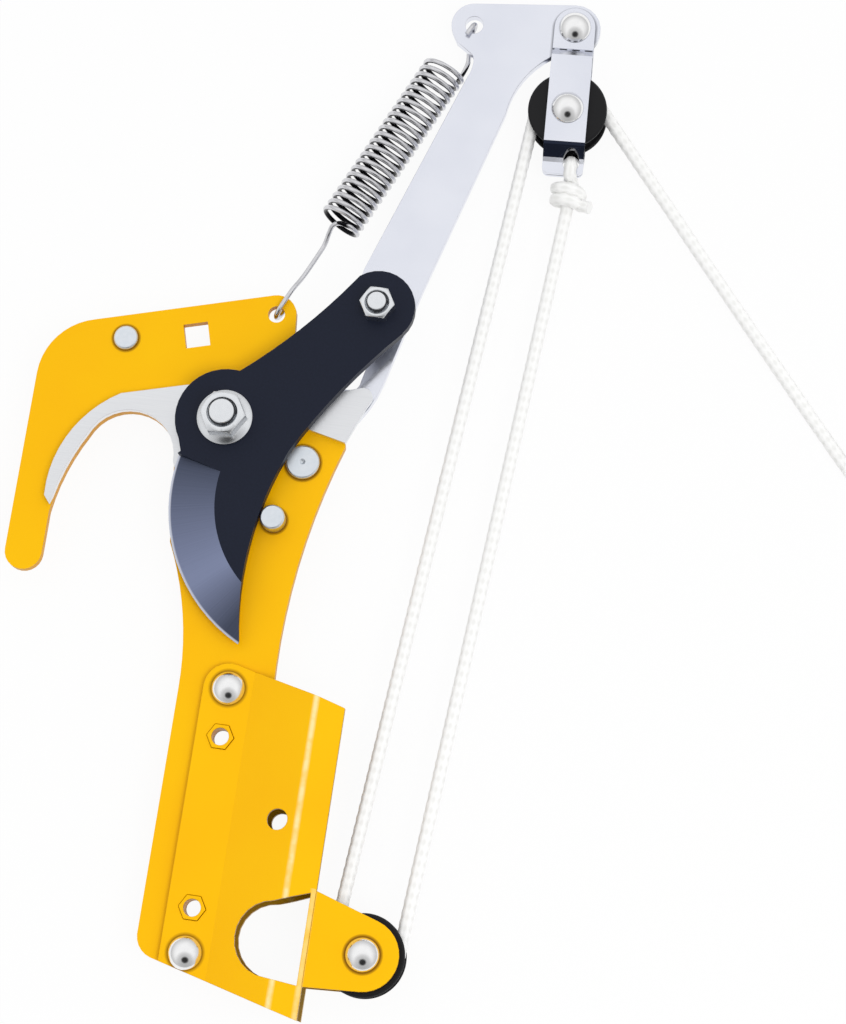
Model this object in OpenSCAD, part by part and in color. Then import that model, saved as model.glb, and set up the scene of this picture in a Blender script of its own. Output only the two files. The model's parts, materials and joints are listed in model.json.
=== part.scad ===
// Rope-pulled pruner head for a pole: a hooked frame plate with a counter blade, a bypass
// blade bolted to a long lever, a return spring, a two-pulley rope purchase and a sheet
// socket. The head lies flat: the pole runs along Y, the plates lie in XY.

/* [Plates] */
// Thickness of the hooked frame plate
frame_t = 3.5; // [2.5:0.1:5]
// Thickness of the counter blade
counter_t = 2.5; // [1.5:0.1:4]
// Thickness of the cutting blade
blade_t = 4; // [3:0.1:6]
// Thickness of the lever
lever_t = 3.5; // [2.5:0.1:5]
// Sliding gap between the plates that turn on each other
slide_gap = 0.2; // [0.1:0.05:0.4]
// Radial running clearance of every turning pin
running_gap = 0.05; // [0.02:0.01:0.1]
// Radial clearance of a fixed rivet or bolt in its hole
rivet_gap = 0.05; // [0.02:0.01:0.1]

/* [Hook] */
// Distance from the pivot to the outer edge of the hook
hook_reach = 64.5; // [60:0.5:72]
// Distance from the pivot down to the centre of the hook's round tip
hook_drop = 50.5; // [44:0.5:56]
// Width of the hook's shank
hook_w = 12; // [10:0.5:14]
// Radius of the throat that the branch lies in
throat_r = 15; // [13:0.5:17]
// Side of the square hole for a saw blade's bolt
saw_hole = 8; // [6:0.5:9]
// Hole for the spring in the frame's ear
ear_hole_d = 5.5; // [5:0.1:6.5]
// Radius of the ear round that hole
ear_r = 6.5; // [6:0.1:8]

/* [Pivot and arm] */
// Pivot bolt's place across the pole
pivot_x = -37; // [-40:0.5:-34]
// Pivot bolt's place along the pole
pivot_y = 124.5; // [118:0.5:132]
// Diameter of the pivot bolt
pivot_bolt_d = 8; // [7:0.5:9]
// Outside diameter of the bush that the blade turns on
bush_d = 12; // [11:0.5:14]
// Radius of the blade's boss at the pivot
boss_r = 16.2; // [15:0.1:18]
// Distance from the pivot to the arm bolt
arm_reach = 61; // [58:0.5:66]
// Direction of the arm from the pivot
arm_angle = 45; // [44:0.5:46]
// Radius of the arm's round end
arm_end_r = 12; // [11:0.1:13]
// Diameter of the arm bolt
arm_bolt_d = 6; // [5:0.5:7]
// Outside diameter of the spacer on the arm bolt
arm_spacer_d = 13; // [11:0.5:14]
// Diameter of the stop pin in the crook of the blade
stop_d = 8; // [7:0.2:8.4]

/* [Lever and block] */
// Distance from the pivot to the rivet of the pulley block
lever_reach = 175.5; // [170:0.5:185]
// Direction of that rivet from the pivot
lever_angle = 58.2; // [57:0.1:59]
// Radius of the lever's end round the rivet
lever_end_r = 8.5; // [7.5:0.1:9.5]
// Hole for the spring in the lever
lever_hole_d = 6; // [5.5:0.1:7]
// Thickness of the block's straps
strap_t = 1.5; // [1:0.1:2]
// Width of the block's straps
strap_w = 13.5; // [12.5:0.1:15]
// Tilt of the block at rest
block_tilt = 3; // [1:0.5:5]
// Distance from the block's rivet to its axle
axle_drop = 29.3; // [28:0.1:31]

/* [Pulleys and rivets] */
// Outside diameter of both pulleys
pulley_d = 26; // [25:0.5:27]
// Width of both pulleys
pulley_w = 10; // [8:0.5:11]
// Diameter of both axles and of the block's rivet
axle_d = 6; // [5:0.1:7]
// Diameter of the domed rivet heads
dome_d = 11; // [10:0.1:12]
// Height of the domed rivet heads
dome_h = 3.2; // [2.5:0.1:3.6]
// Gap between a pulley and each cheek
cheek_gap = 0.4; // [0.3:0.05:0.8]

/* [Socket] */
// Thickness of the socket's sheet
sheet_t = 2; // [1.5:0.1:2.5]
// Half the inside depth of the socket at its bend
socket_depth = 9; // [8:0.2:11]
// Left edge of the socket's flange
flange_x = -30.5; // [-32:0.5:-30]
// Line of the flange's rivets
rivet_x = -22.5; // [-23:0.1:-22]
// Where the flange turns up into the face
face_x = -14.5; // [-15.5:0.1:-14]
// Where the face bends down to the side
bend_x = 6.5; // [5.5:0.1:7.5]
// Right edge of the socket
socket_x = 15.5; // [15:0.1:17]
// Upper flange rivet's place along the pole
rivet_top_y = 39; // [36:0.5:42]
// Lower flange rivet's place along the pole
rivet_low_y = -44.5; // [-46:0.5:-43]
// Slope of the socket's oblique ends
end_slope = 14.5; // [10:0.5:18]
// Hole for the bolt through the pole
pole_bolt_d = 6.6; // [5.5:0.1:6.8]

/* [Spring and rope] */
// Outside diameter of the return spring
spring_d = 15; // [13:0.5:15.5]
// Diameter of the spring's wire
wire_d = 1.6; // [1.4:0.1:1.9]
// Number of the spring's curls
spring_curls = 23; // [16:1:24]
// Diameter of the rope
rope_d = 4; // [3.5:0.1:4.2]
// Loops in each layer of the put-away coil
coil_loops = 4; // [3:1:4]

/* [Hidden] */
$fn = 48;

yellow = "#fdbf04";
steel = "#c9ccd4";
blackened = "#1b1c20";
nylon = "#141416";
white = "#f2f2f0";

// How far a cut runs past the face it leaves
past = 1;

// Heights of the layers
frame_z = frame_t / 2;
counter_z = frame_z + counter_t;
blade_low = counter_z + slide_gap;
blade_top = blade_low + blade_t;
lever_top = -frame_z - slide_gap;
lever_low = lever_top - lever_t;
lever_mid = (lever_top + lever_low) / 2;

// Main places in the plane
pivot = [pivot_x, pivot_y];
arm_end = pivot + polar(arm_reach, arm_angle);
block = pivot + polar(lever_reach, lever_angle);
block_down = [sin(block_tilt), -cos(block_tilt)];
upper = block + axle_drop * block_down;
lower = [32.5, -37.3];
lever_ear = block + [-33.4, -2.7];
frame_ear = pivot + [10, 38];
hook_rivet_at = pivot + [-37.5, 23.6];
saw_at = pivot + [-14.7, 27.7];
guide_at = pivot + [26.3, -9.8];
spine_at_stop = 15.8;
stop_at = pivot + [spine_at_stop + stop_d / 2 + slide_gap, -29.7];
counter_rivets_at = [pivot + [-33, throat_r / 2 - 5.2], pivot + [13, 12], pivot + [27, 8]];
clamp_ys = [23.5, -30.5];

// Small hardware
flange_nut_d = 17.9;
flange_nut_h = 8;
pivot_hex = 13;
arm_hex = 10;
arm_nut_h = 5.5;
nut_face = 0.95;
nut_sink = 0.9;
bolt_head_h = 5.3;
bolt_end = 1.5;
flat_rivet_d = 8;
flat_rivet_h = 1.2;
guide_d = 11;
guide_h = 2;
guide_mark_d = 1.8;
head_edge = 0.5;
rivet_shank_d = 5;
counter_rivet_d = 4;
counter_skin = 0.6;
clamp_hex = 7.5;
clamp_bore_d = 5.5;
clamp_nut_proud = 0.4;
back_trim = 1.8;
hex_gap = 0.1;
axle_end_h = 1.2;

// Pulley and rope
rope_r = rope_d / 2;
groove_gap = 0.3;
rope_line_r = pulley_d / 2 - rope_r - 0.5;
groove_r = rope_line_r - rope_r - groove_gap;
strap_wide = pulley_w / 2 + cheek_gap;
strap_near = lever_t / 2 + slide_gap;
strap_shut = 0.2;
tab_in = pulley_w / 2 + cheek_gap;
floor_z = lever_mid - strap_wide - strap_t - axle_end_h;

function polar(r, a) = [r * cos(a), r * sin(a)];
function unit(v) = v / norm(v);
function flat(v) = [v[0], v[1]];

// Points of an arc about c, from angle a0 to a1
function arc(c, r, a0, a1, n = 12) = [for (i = [0:n]) c + polar(r, a0 + (a1 - a0) * i / n)];

// Points of the arc that starts at a, passes through m and ends at b
function arc3(a, m, b, n = 10) =
    let (d = 2 * (a.x * (m.y - b.y) + m.x * (b.y - a.y) + b.x * (a.y - m.y)),
         aa = a * a, mm = m * m, bb = b * b,
         c = [aa * (m.y - b.y) + mm * (b.y - a.y) + bb * (a.y - m.y),
              aa * (b.x - m.x) + mm * (a.x - b.x) + bb * (m.x - a.x)] / d,
         from = atan2(a.y - c.y, a.x - c.x),
         to = atan2(b.y - c.y, b.x - c.x),
         left = (m.x - a.x) * (b.y - m.y) - (m.y - a.y) * (b.x - m.x) > 0,
         turn = left ? (to - from + 720) % 360 : -((from - to + 720) % 360))
    arc(c, norm(a - c), from, from + turn, n);

// The line through pts moved sideways by t, with mitred corners
function beside(pts, t) =
    let (n = len(pts),
         side = [for (i = [0:n - 2]) let (d = unit(pts[i + 1] - pts[i])) [-d.y, d.x]])
    [for (i = [0:n - 1])
        let (a = side[max(i - 1, 0)], b = side[min(i, n - 2)])
        pts[i] + t * (a + b) / (1 + a * b)];

// The line through pts with its corners bent to radius r
function bent(pts, r) = let (last = len(pts) - 1)
    [for (i = [0:last]) each i == 0 || i == last ? [pts[i]]
        : let (p = pts[i], u = unit(pts[i - 1] - p), v = unit(pts[i + 1] - p), half = acos(u * v) / 2)
          arc3(p + u * r / tan(half), p + unit(u + v) * (r / sin(half) - r), p + v * r / tan(half), 5)];

// A strip of thickness t along pts
function strip(pts, t) = let (other = beside(pts, t), n = len(pts))
    concat(pts, [for (i = [n - 1:-1:0]) other[i]]);

// Where the tangent from p meets the circle about c, with the circle to its left or right
function touch(p, c, r, left) =
    let (d = p - c, a = atan2(d.y, d.x), half = acos(r / norm(d)))
    c + polar(r, left ? a + half : a - half);

// Directions along a path, and a cross direction carried along it without twist
function along(path) = let (n = len(path))
    [for (i = [0:n - 1]) unit(path[min(i + 1, n - 1)] - path[max(i - 1, 0)])];
function across(dirs, first) =
    [for (i = 0, u = unit(first - (first * dirs[0]) * dirs[0]); i < len(dirs);
          i = i + 1, u = i < len(dirs) ? unit(u - (u * dirs[i]) * dirs[i]) : u) u];

// A closed tube of radius r along path
module tube(path, r, sides, first = [0, 0, 1]) {
    dirs = along(path);
    ups = across(dirs, first);
    n = len(path);
    rings = [for (i = [0:n - 1]) let (w = cross(dirs[i], ups[i]))
             for (k = [0:sides - 1]) let (a = 360 * k / sides)
                 path[i] + r * (cos(a) * ups[i] + sin(a) * w)];
    walls = [for (i = [0:n - 2]) for (k = [0:sides - 1])
             let (p = i * sides + k, q = i * sides + (k + 1) % sides)
             each [[p, p + sides, q], [q, p + sides, q + sides]]];
    near_cap = [for (k = [1:sides - 2]) [0, k, k + 1]];
    far_cap = [for (k = [1:sides - 2]) [(n - 1) * sides, (n - 1) * sides + k + 1, (n - 1) * sides + k]];
    polyhedron(rings, concat(walls, near_cap, far_cap));
}

// The least gap that a tube leaves to itself, between points more than skip apart
function least_gap(path, r, skip) =
    min([for (i = [0:len(path) - 1]) for (j = [i + skip:1:len(path) - 1]) norm(path[i] - path[j])]) - 2 * r;

module plate(outline, low, high) {
    translate([0, 0, low]) linear_extrude(high - low) polygon(outline);
}

module hole(at, d, low, high) {
    translate([at.x, at.y, low - past]) cylinder(d = d, h = high - low + 2 * past);
}

// A domed head that stands on the plane z = 0
module dome(d, h) {
    ball_r = (d * d / 4 + h * h) / (2 * h);
    intersection() {
        translate([0, 0, h - ball_r]) sphere(r = ball_r, $fn = 96);
        cylinder(d = d + past, h = h + past);
    }
}

// A rivet with a domed head at high and a domed or flat end at low
module domed_rivet(at, d, low, high, end_h) {
    translate([at.x, at.y, 0]) {
        translate([0, 0, low]) cylinder(d = d, h = high - low);
        translate([0, 0, high]) dome(dome_d, dome_h);
        if (end_h < dome_h) translate([0, 0, low - end_h]) cylinder(d = dome_d - 1, h = end_h);
        else translate([0, 0, low]) mirror([0, 0, 1]) dome(dome_d, dome_h);
    }
}

module hex(across_flats, h) {
    cylinder(d = across_flats / cos(30), h = h, $fn = 6);
}

// The frame plate and the counter blade share the throat's edge
hook_left = pivot.x - hook_reach;
shank_x = hook_left + hook_w;
tip_y = pivot.y - hook_drop;
throat_at = pivot + [-30, -15.4];
throat_in = throat_at + polar(throat_r, 157);
shank_top = [shank_x, tip_y + 14];
throat_edge = concat(
    arc3(shank_top, (shank_top + throat_in) / 2 + [-1.3, 0.5], throat_in, 6),
    arc(throat_at, throat_r, 150, 0, 14));
hook_slope = 15.5;
top_end = frame_ear + polar(ear_r, 90 + hook_slope);
top_start = [hook_left + 16, top_end.y - (top_end.x - hook_left - 16) * tan(hook_slope)];
strap_left = -38.5;
strap_right = -12;
low_line = rivet_low_y - 5.2;
function low_y(x) = low_line - (x - rivet_x + 2) * tan(end_slope);

frame_outline = concat(
    arc3([hook_left, tip_y], [hook_left + hook_w / 2, tip_y - hook_w / 2], [shank_x, tip_y], 12),
    throat_edge,
    arc3(pivot + [-12, -41.2], [strap_left - 3, 62.5], [strap_left, 37]),
    arc3([strap_left, low_y(strap_left) + 5], [strap_left + 1.2, low_y(strap_left) + 1.6],
         [strap_left + 5, low_y(strap_left + 5)], 5),
    [[strap_right, low_y(strap_right)], [strap_right, 28], [-8.6, 36]],
    arc3([-8.5, 40], [-6.8, 83.4], pivot + [39, -2.8]),
    [pivot + [38, 2], pivot + [30, 12.5], pivot + [22, 19.5], pivot + [17.5, 27]],
    arc(frame_ear, ear_r, 0, 90 + hook_slope, 8),
    arc3(top_start, [hook_left + 4.5, top_start.y - 7.3], [hook_left, top_start.y - 20], 10));

module frame_plate() {
    color(yellow) difference() {
        plate(frame_outline, -frame_z, frame_z);
        hole(pivot, bush_d + 2 * running_gap, -frame_z, frame_z);
        hole(hook_rivet_at, rivet_shank_d + 2 * rivet_gap, -frame_z, frame_z);
        hole(frame_ear, ear_hole_d, -frame_z, frame_z);
        hole(guide_at, rivet_shank_d + 2 * rivet_gap, -frame_z, frame_z);
        hole(stop_at, rivet_shank_d + 2 * rivet_gap, -frame_z, frame_z);
        for (at = counter_rivets_at) hole(at, counter_rivet_d + 2 * rivet_gap, -frame_z, frame_z);
        for (y = [rivet_top_y, rivet_low_y]) hole([rivet_x, y], axle_d + 2 * rivet_gap, -frame_z, frame_z);
        for (y = clamp_ys) hole([rivet_x, y], clamp_bore_d, -frame_z, frame_z);
        translate([saw_at.x, saw_at.y, 0]) rotate([0, 0, hook_slope])
            cube([saw_hole, saw_hole, frame_t + 2 * past], center = true);
    }
}

counter_outline = concat(
    [[shank_x - 2, tip_y + 18.5], [shank_x, tip_y + 16]],
    [for (i = [1:len(throat_edge) - 1]) throat_edge[i]],
    arc3(pivot + [-14, -18], pivot + [10, -14], pivot + [25.5, 1.1]),
    [pivot + [39, -2], pivot + [43.9, 10.3]],
    arc3(pivot + [45.4, 13.2], pivot + [44.6, 16], pivot + [41, 16.6], 5),
    [pivot + [34.2, 14.3], pivot + [20, 18], pivot + [4, 14.5], pivot + [-15.6, 10]],
    arc3(pivot + [-35.5, 4.6], [shank_x + 4, pivot.y - 8], [shank_x - 2.1, tip_y + 23], 10));

module counter_blade() {
    color(steel) difference() {
        plate(counter_outline, frame_z, counter_z);
        hole(pivot, bush_d + 2 * running_gap, frame_z, counter_z);
        for (at = counter_rivets_at) translate([at.x, at.y, frame_z - past])
            cylinder(d = counter_rivet_d + 2 * rivet_gap, h = counter_z - frame_z - counter_skin + past);
    }
}

// Studs set in the back of the counter blade, so that its ground face has no holes
module counter_rivets() {
    color(steel) for (at = counter_rivets_at) translate([at.x, at.y, -frame_z])
        cylinder(d = counter_rivet_d, h = counter_z + frame_z - counter_skin - rivet_gap);
}

// A rivet with a flat round head on the front and a flush back
module flat_rivet(at, d, h) {
    translate([at.x, at.y, -frame_z]) cylinder(d = rivet_shank_d, h = frame_t);
    translate([at.x, at.y, frame_z]) rotate_extrude()
        polygon([[0, 0], [d / 2, 0], [d / 2, h - head_edge], [d / 2 - head_edge, h], [0, h]]);
}

module hook_rivet() {
    color(steel) flat_rivet(hook_rivet_at, flat_rivet_d, flat_rivet_h);
}

module guide_rivet() {
    color(steel) difference() {
        flat_rivet(guide_at, guide_d, guide_h);
        translate([guide_at.x, guide_at.y, frame_z + guide_h - guide_mark_d / 2])
            cylinder(d1 = 0, d2 = guide_mark_d + 2 * past, h = guide_mark_d / 2 + past);
    }
}

module stop_pin() {
    color(steel) flat_rivet(stop_at, stop_d, blade_low + blade_t * 0.8 - frame_z);
}

// One half of the socket: flange, face and side from one bent sheet, with the tab that was
// lanced out of the face and folded outwards to carry the lower pulley
tab_r = 11.3;
tab_top = [socket_x - 1.5, lower.y + 17.8];
tab_low = [socket_x - 1.5, lower.y - 12.4];
notch_at = [4, lower.y + 0.6];
notch_r = 11.8;
notch_x = socket_x - 1.6;
flange_corner_r = rivet_x - flange_x;
socket_bend_r = sheet_t + 1;
socket_inside = bent([[flange_x, frame_z], [face_x, frame_z], [bend_x, socket_depth], [socket_x, tab_in]],
                     socket_bend_r);
top_touch = [rivet_x, rivet_top_y] + polar(flange_corner_r, 90 - end_slope);
socket_outline = concat(
    [[flange_x, low_y(flange_x)], [socket_x, low_y(socket_x)],
     [socket_x, top_touch.y - (socket_x - top_touch.x) * tan(end_slope)]],
    arc([rivet_x, rivet_top_y], flange_corner_r, 90 - end_slope, 180, 8));
tab_touch_low = touch(tab_low, lower, tab_r, true);
tab_touch_top = touch(tab_top, lower, tab_r, false);
function bearing(p) = atan2(p.y - lower.y, p.x - lower.x);
tab_outline = concat([tab_top, tab_low],
    arc(lower, tab_r, bearing(tab_touch_low), bearing(tab_touch_top), 14));
notch_outline = concat(
    [[notch_x, lower.y + 16.4]],
    arc(notch_at, notch_r, 95, 270, 12),
    [[notch_x, lower.y - 12.2]]);

module socket_half() {
    high = socket_depth + 2 * sheet_t;
    top = top_touch.y + flange_corner_r;
    length = top - low_y(socket_x) + past;
    difference() {
        union() {
            difference() {
                intersection() {
                    translate([0, top, 0]) rotate([90, 0, 0]) linear_extrude(length)
                        polygon(strip(socket_inside, sheet_t));
                    plate(socket_outline, 0, high);
                }
                plate(notch_outline, 0, high);
            }
            plate(tab_outline, tab_in, tab_in + sheet_t);
        }
        hole([0, 0], pole_bolt_d, 0, high);
        hole(lower, axle_d + 2 * rivet_gap, 0, high);
        for (y = [rivet_top_y, rivet_low_y]) hole([rivet_x, y], axle_d + 2 * rivet_gap, 0, high);
        children();
    }
}

module socket_front() {
    color(yellow) socket_half()
        for (y = clamp_ys) translate([rivet_x, y, 0]) hex(clamp_hex + 2 * hex_gap, 2 * socket_depth);
}

// The back half is a little narrower above its tab
module socket_back() {
    trim_y = tab_top.y + 1;
    color(yellow) mirror([0, 0, 1]) socket_half() {
        for (y = clamp_ys) hole([rivet_x, y], clamp_bore_d, 0, 2 * socket_depth);
        translate([socket_x - back_trim, trim_y, -past])
            cube([2 * back_trim, top_touch.y + flange_corner_r - trim_y, 2 * socket_depth]);
    }
}

module socket_rivets() {
    reach = frame_z + sheet_t;
    color(steel) for (y = [rivet_top_y, rivet_low_y])
        domed_rivet([rivet_x, y], axle_d, -reach, reach, dome_h);
}

module clamp_nuts() {
    color(yellow) for (y = clamp_ys) translate([rivet_x, y, frame_z]) difference() {
        hex(clamp_hex, sheet_t + clamp_nut_proud);
        translate([0, 0, -past]) cylinder(d = clamp_bore_d, h = 2 * past + sheet_t + clamp_nut_proud);
    }
}

module lower_axle() {
    color(steel) domed_rivet(lower, axle_d, -tab_in - sheet_t, tab_in + sheet_t, dome_h);
}

// A grooved pulley about the z axis, with its middle at z = 0
module pulley() {
    r = pulley_d / 2;
    w = pulley_w / 2;
    rim = 1.2;
    rotate_extrude($fn = 96) polygon(concat(
        [[axle_d / 2 + running_gap, -w], [r - 0.6, -w], [r, -w + 0.6], [r, -w + rim]],
        arc3([r - 0.5, -w + rim + 0.4], [groove_r, 0], [r - 0.5, w - rim - 0.4], 12),
        [[r, w - rim], [r, w - 0.6], [r - 0.6, w], [axle_d / 2 + running_gap, w]]));
}

module lower_pulley() {
    color(nylon) translate([lower.x, lower.y, 0]) pulley();
}

// The bypass blade with its arm, and the hollow-ground bevel along its edge
edge_r = 53.6;
edge_land = 0.5;
edge_heel = pivot + [-13.4, -13.6];
blade_tip = pivot + [15.4, -71.4];
edge_chord = blade_tip - edge_heel;
edge_at = (edge_heel + blade_tip) / 2
    + sqrt(edge_r * edge_r - edge_chord * edge_chord / 4) * unit([-edge_chord.y, edge_chord.x]);
bevel_w = 15.2;
bevel_r = edge_r - bevel_w;
function on_arm(s, t) = pivot + polar(s, arm_angle) + polar(t, arm_angle + 90);
function edge_angle(p) = (atan2(p.y - edge_at.y, p.x - edge_at.x) + 360) % 360;
blade_outline = concat(
    arc(arm_end, arm_end_r, arm_angle - 85, arm_angle + 83, 14),
    arc3(on_arm(arm_reach - 1, arm_end_r - 0.5), on_arm(arm_reach * 0.66, 9.3),
         pivot + polar(boss_r, 82), 8),
    arc(pivot, boss_r, 86, 212, 14),
    [pivot + [-12.4, -12.6]],
    arc(edge_at, edge_r, edge_angle(edge_heel), edge_angle(blade_tip), 16),
    arc3(pivot + [15.7, -70.6], pivot + [14.6, -37], pivot + [21.3, -10], 12),
    arc3(pivot + [22, -8], on_arm(arm_reach * 0.62, -14.6), on_arm(arm_reach + 1, -arm_end_r - 0.1), 8));

module cutting_blade() {
    color(blackened) difference() {
        plate(blade_outline, blade_low, blade_top);
        hole(pivot, pivot_bolt_d + 2 * rivet_gap, blade_low, blade_top);
        hole(arm_end, arm_bolt_d + 2 * rivet_gap, blade_low, blade_top);
        intersection() {
            translate([edge_at.x, edge_at.y, 0]) rotate_extrude($fn = 128)
                polygon([[bevel_r, blade_top], [edge_r, blade_low + edge_land],
                         [edge_r + blade_t, blade_low], [edge_r + blade_t, blade_top + past],
                         [bevel_r, blade_top + past]]);
            plate([pivot + [-20, -11.5], pivot + [1.3, -17.5], pivot + [22, -24],
                   pivot + [22, -80], pivot + [-20, -80]], 0, blade_top + 2 * past);
        }
    }
}

// The lever behind the frame, tied to the blade at the pivot and at the arm bolt
lever_boss_r = 14;
lever_ear_r = 7.6;
lever_outline = concat(
    arc(pivot, lever_boss_r, 125, 290, 12),
    arc3(pivot + [23, -6.5], pivot + [41.2, 7], pivot + [47.6, 20.5], 8),
    [pivot + [55.7, 53.2], upper + [-20.1, -2.6]],
    arc3(upper + [-20, -1.6], upper + [-16.4, 9.2], upper + [-8, 18.7], 8),
    arc(block, lever_end_r, -105, 95, 12),
    arc(lever_ear, lever_ear_r, 96, 215, 10),
    arc3(lever_ear + [-4.8, -6.7], lever_ear + [-1.4, -8.9], lever_ear + [1, -10.6], 4),
    arc3(lever_ear + [1.5, -11.6], lever_ear + [1.5, -14.5], lever_ear + [0.4, -18.2], 5),
    arc3(pivot + [35.5, 58], pivot + [33.5, 50.5], pivot + [29, 43.5], 5));
window_outline = concat(
    arc3(pivot + [38.5, 17.2], pivot + [39.7, 18.4], pivot + [40.2, 20.2], 4),
    arc3(pivot + [42.1, 28.4], pivot + [41.2, 30.3], pivot + [39.2, 29.9], 4),
    arc3(pivot + [29, 20.4], pivot + [28.4, 18], pivot + [30.2, 16.6], 4));

module lever() {
    color(steel) difference() {
        plate(lever_outline, lever_low, lever_top);
        plate(window_outline, lever_low - past, lever_top + past);
        hole(pivot, pivot_bolt_d + 2 * rivet_gap, lever_low, lever_top);
        hole(arm_end, arm_bolt_d + 2 * rivet_gap, lever_low, lever_top);
        hole(block, axle_d + 2 * running_gap, lever_low, lever_top);
        hole(lever_ear, lever_hole_d, lever_low, lever_top);
    }
}

// A sleeve between the lever and the blade
module sleeve(at, d, bore) {
    color(steel) translate([at.x, at.y, lever_top]) difference() {
        cylinder(d = d, h = blade_low - lever_top);
        translate([0, 0, -past]) cylinder(d = bore, h = blade_low - lever_top + 2 * past);
    }
}

module pivot_bush() {
    sleeve(pivot, bush_d, pivot_bolt_d + 2 * rivet_gap);
}

module arm_spacer() {
    sleeve(arm_end, arm_spacer_d, arm_bolt_d + 2 * rivet_gap);
}

// A bolt with its hexagon head behind the lever and its end past the nut
module bolt(at, d, across_flats, nut_h) {
    color(steel) translate([at.x, at.y, lever_low]) {
        cylinder(d = d, h = blade_top - lever_low + nut_h + bolt_end);
        translate([0, 0, -bolt_head_h]) hex(across_flats, bolt_head_h);
    }
}

module pivot_bolt() {
    bolt(pivot, pivot_bolt_d, pivot_hex, flange_nut_h);
}

module arm_bolt() {
    bolt(arm_end, arm_bolt_d, arm_hex, arm_nut_h);
}

// A nut's hexagon with its front corners turned off, and its countersunk bore
module nut_hex(across_flats, h) {
    face_d = across_flats * nut_face;
    intersection() {
        hex(across_flats, h);
        cylinder(d1 = face_d + 2 * h * tan(60), d2 = face_d, h = h);
    }
}

module nut_bore(d, h) {
    bore = d + 2 * rivet_gap;
    sink_h = nut_sink + past;
    translate([0, 0, -past]) cylinder(d = bore, h = h + 2 * past);
    translate([0, 0, h - nut_sink]) cylinder(d1 = bore, d2 = bore + 2 * sink_h, h = sink_h);
}

module pivot_nut() {
    color(steel) translate([pivot.x, pivot.y, blade_top]) difference() {
        union() {
            nut_hex(pivot_hex, flange_nut_h);
            cylinder(d = flange_nut_d, h = 1.2);
            translate([0, 0, 1.2]) cylinder(d1 = flange_nut_d, d2 = pivot_hex, h = 1.4);
        }
        nut_bore(pivot_bolt_d, flange_nut_h);
    }
}

module arm_nut() {
    color(steel) translate([arm_end.x, arm_end.y, blade_top]) difference() {
        nut_hex(arm_hex, arm_nut_h);
        nut_bore(arm_bolt_d, arm_nut_h);
    }
}

// The pulley block hangs from its rivet: its own frame has the rivet at the origin and
// runs down along -Y
module at_block() {
    translate([block.x, block.y, lever_mid]) rotate([0, 0, block_tilt]) children();
}

becket = [2.6, -axle_drop - 17.2];
strap_end = becket.y - 4;
strap_line = [[strap_w / 2, strap_near], [-8.2, strap_near], [-11.7, strap_wide],
              [-axle_drop - 13.2, strap_wide], [-axle_drop - 16.4, strap_shut], [strap_end, strap_shut]];
becket_hole_d = rope_d + 1.5;
strap_corner_r = 2;
strap_outline = concat(
    arc([0, 0], strap_w / 2, 0, 180, 14),
    arc([strap_corner_r - strap_w / 2, strap_end + strap_corner_r], strap_corner_r, 180, 270, 4),
    arc([strap_w / 2 - strap_corner_r, strap_end + strap_corner_r], strap_corner_r, 270, 360, 4));

module strap() {
    high = strap_wide + 2 * strap_t;
    difference() {
        intersection() {
            translate([-strap_w / 2 - past, 0, 0]) rotate([90, 0, 90])
                linear_extrude(strap_w + 2 * past) polygon(strip(strap_line, -strap_t));
            plate(strap_outline, 0, high);
        }
        hole([0, 0], axle_d + 2 * rivet_gap, 0, high);
        hole([0, -axle_drop], axle_d + 2 * rivet_gap, 0, high);
        hole(becket, becket_hole_d, 0, high);
    }
}

module strap_front() {
    color(steel) at_block() strap();
}

module strap_back() {
    color(steel) at_block() mirror([0, 0, 1]) strap();
}

module block_rivet() {
    color(steel) at_block()
        domed_rivet([0, 0], axle_d, -strap_near - strap_t, strap_near + strap_t, axle_end_h);
}

module upper_axle() {
    color(steel) at_block()
        domed_rivet([0, -axle_drop], axle_d, -strap_wide - strap_t, strap_wide + strap_t, axle_end_h);
}

module upper_pulley() {
    color(nylon) at_block() translate([0, -axle_drop, 0]) pulley();
}

// The spring runs along the line between the two ears: s is the distance from the lever's
// ear, q is to the right of the line and h is towards the front
spring_top = [lever_ear.x, lever_ear.y, lever_mid];
spring_low = [frame_ear.x, frame_ear.y, 0];
spring_span = norm(spring_low - spring_top);
spring_along = unit(spring_low - spring_top);
spring_side = unit(cross([0, 0, 1], spring_along));
spring_front = cross(spring_along, spring_side);
function on_spring(s, q, h) = spring_top + s * spring_along + q * spring_side + h * spring_front;
curl_r = (spring_d - wire_d) / 2;
coil_start = 18;
coil_end = 82;
curl_steps = 8;
hook_gap = 0.4;
top_clear = lever_t / 2 + wire_d / 2 + hook_gap;
low_clear = frame_t / 2 + wire_d / 2 + hook_gap;
hook_set = 2.4;
curl_from = -45;
curl_ease = 0.25;
curl_turn = 360 * spring_curls + 90;
curl_count = curl_turn * curl_steps / 360;
function on_curl(i) = let (a = curl_from + curl_turn * i / curl_count)
    on_spring(coil_start + (coil_end - coil_start) * i / curl_count, curl_r * cos(a), curl_r * sin(a));
spring_path = concat(
    [on_spring(4.5, 0, top_clear)],
    [for (a = [90:-30:-90]) on_spring(hook_set - top_clear * cos(a), 0, top_clear * sin(a))],
    [on_spring(4.5, 0.6, -top_clear), on_spring(7.5, 2.6, -top_clear), on_spring(11, 4.4, -top_clear - 0.2),
     on_spring(14.5, 4.8, -top_clear - 1)],
    [for (i = [0:curl_count - 1]) on_curl(i)], [on_curl(curl_count - curl_ease), on_curl(curl_count)]);
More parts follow.
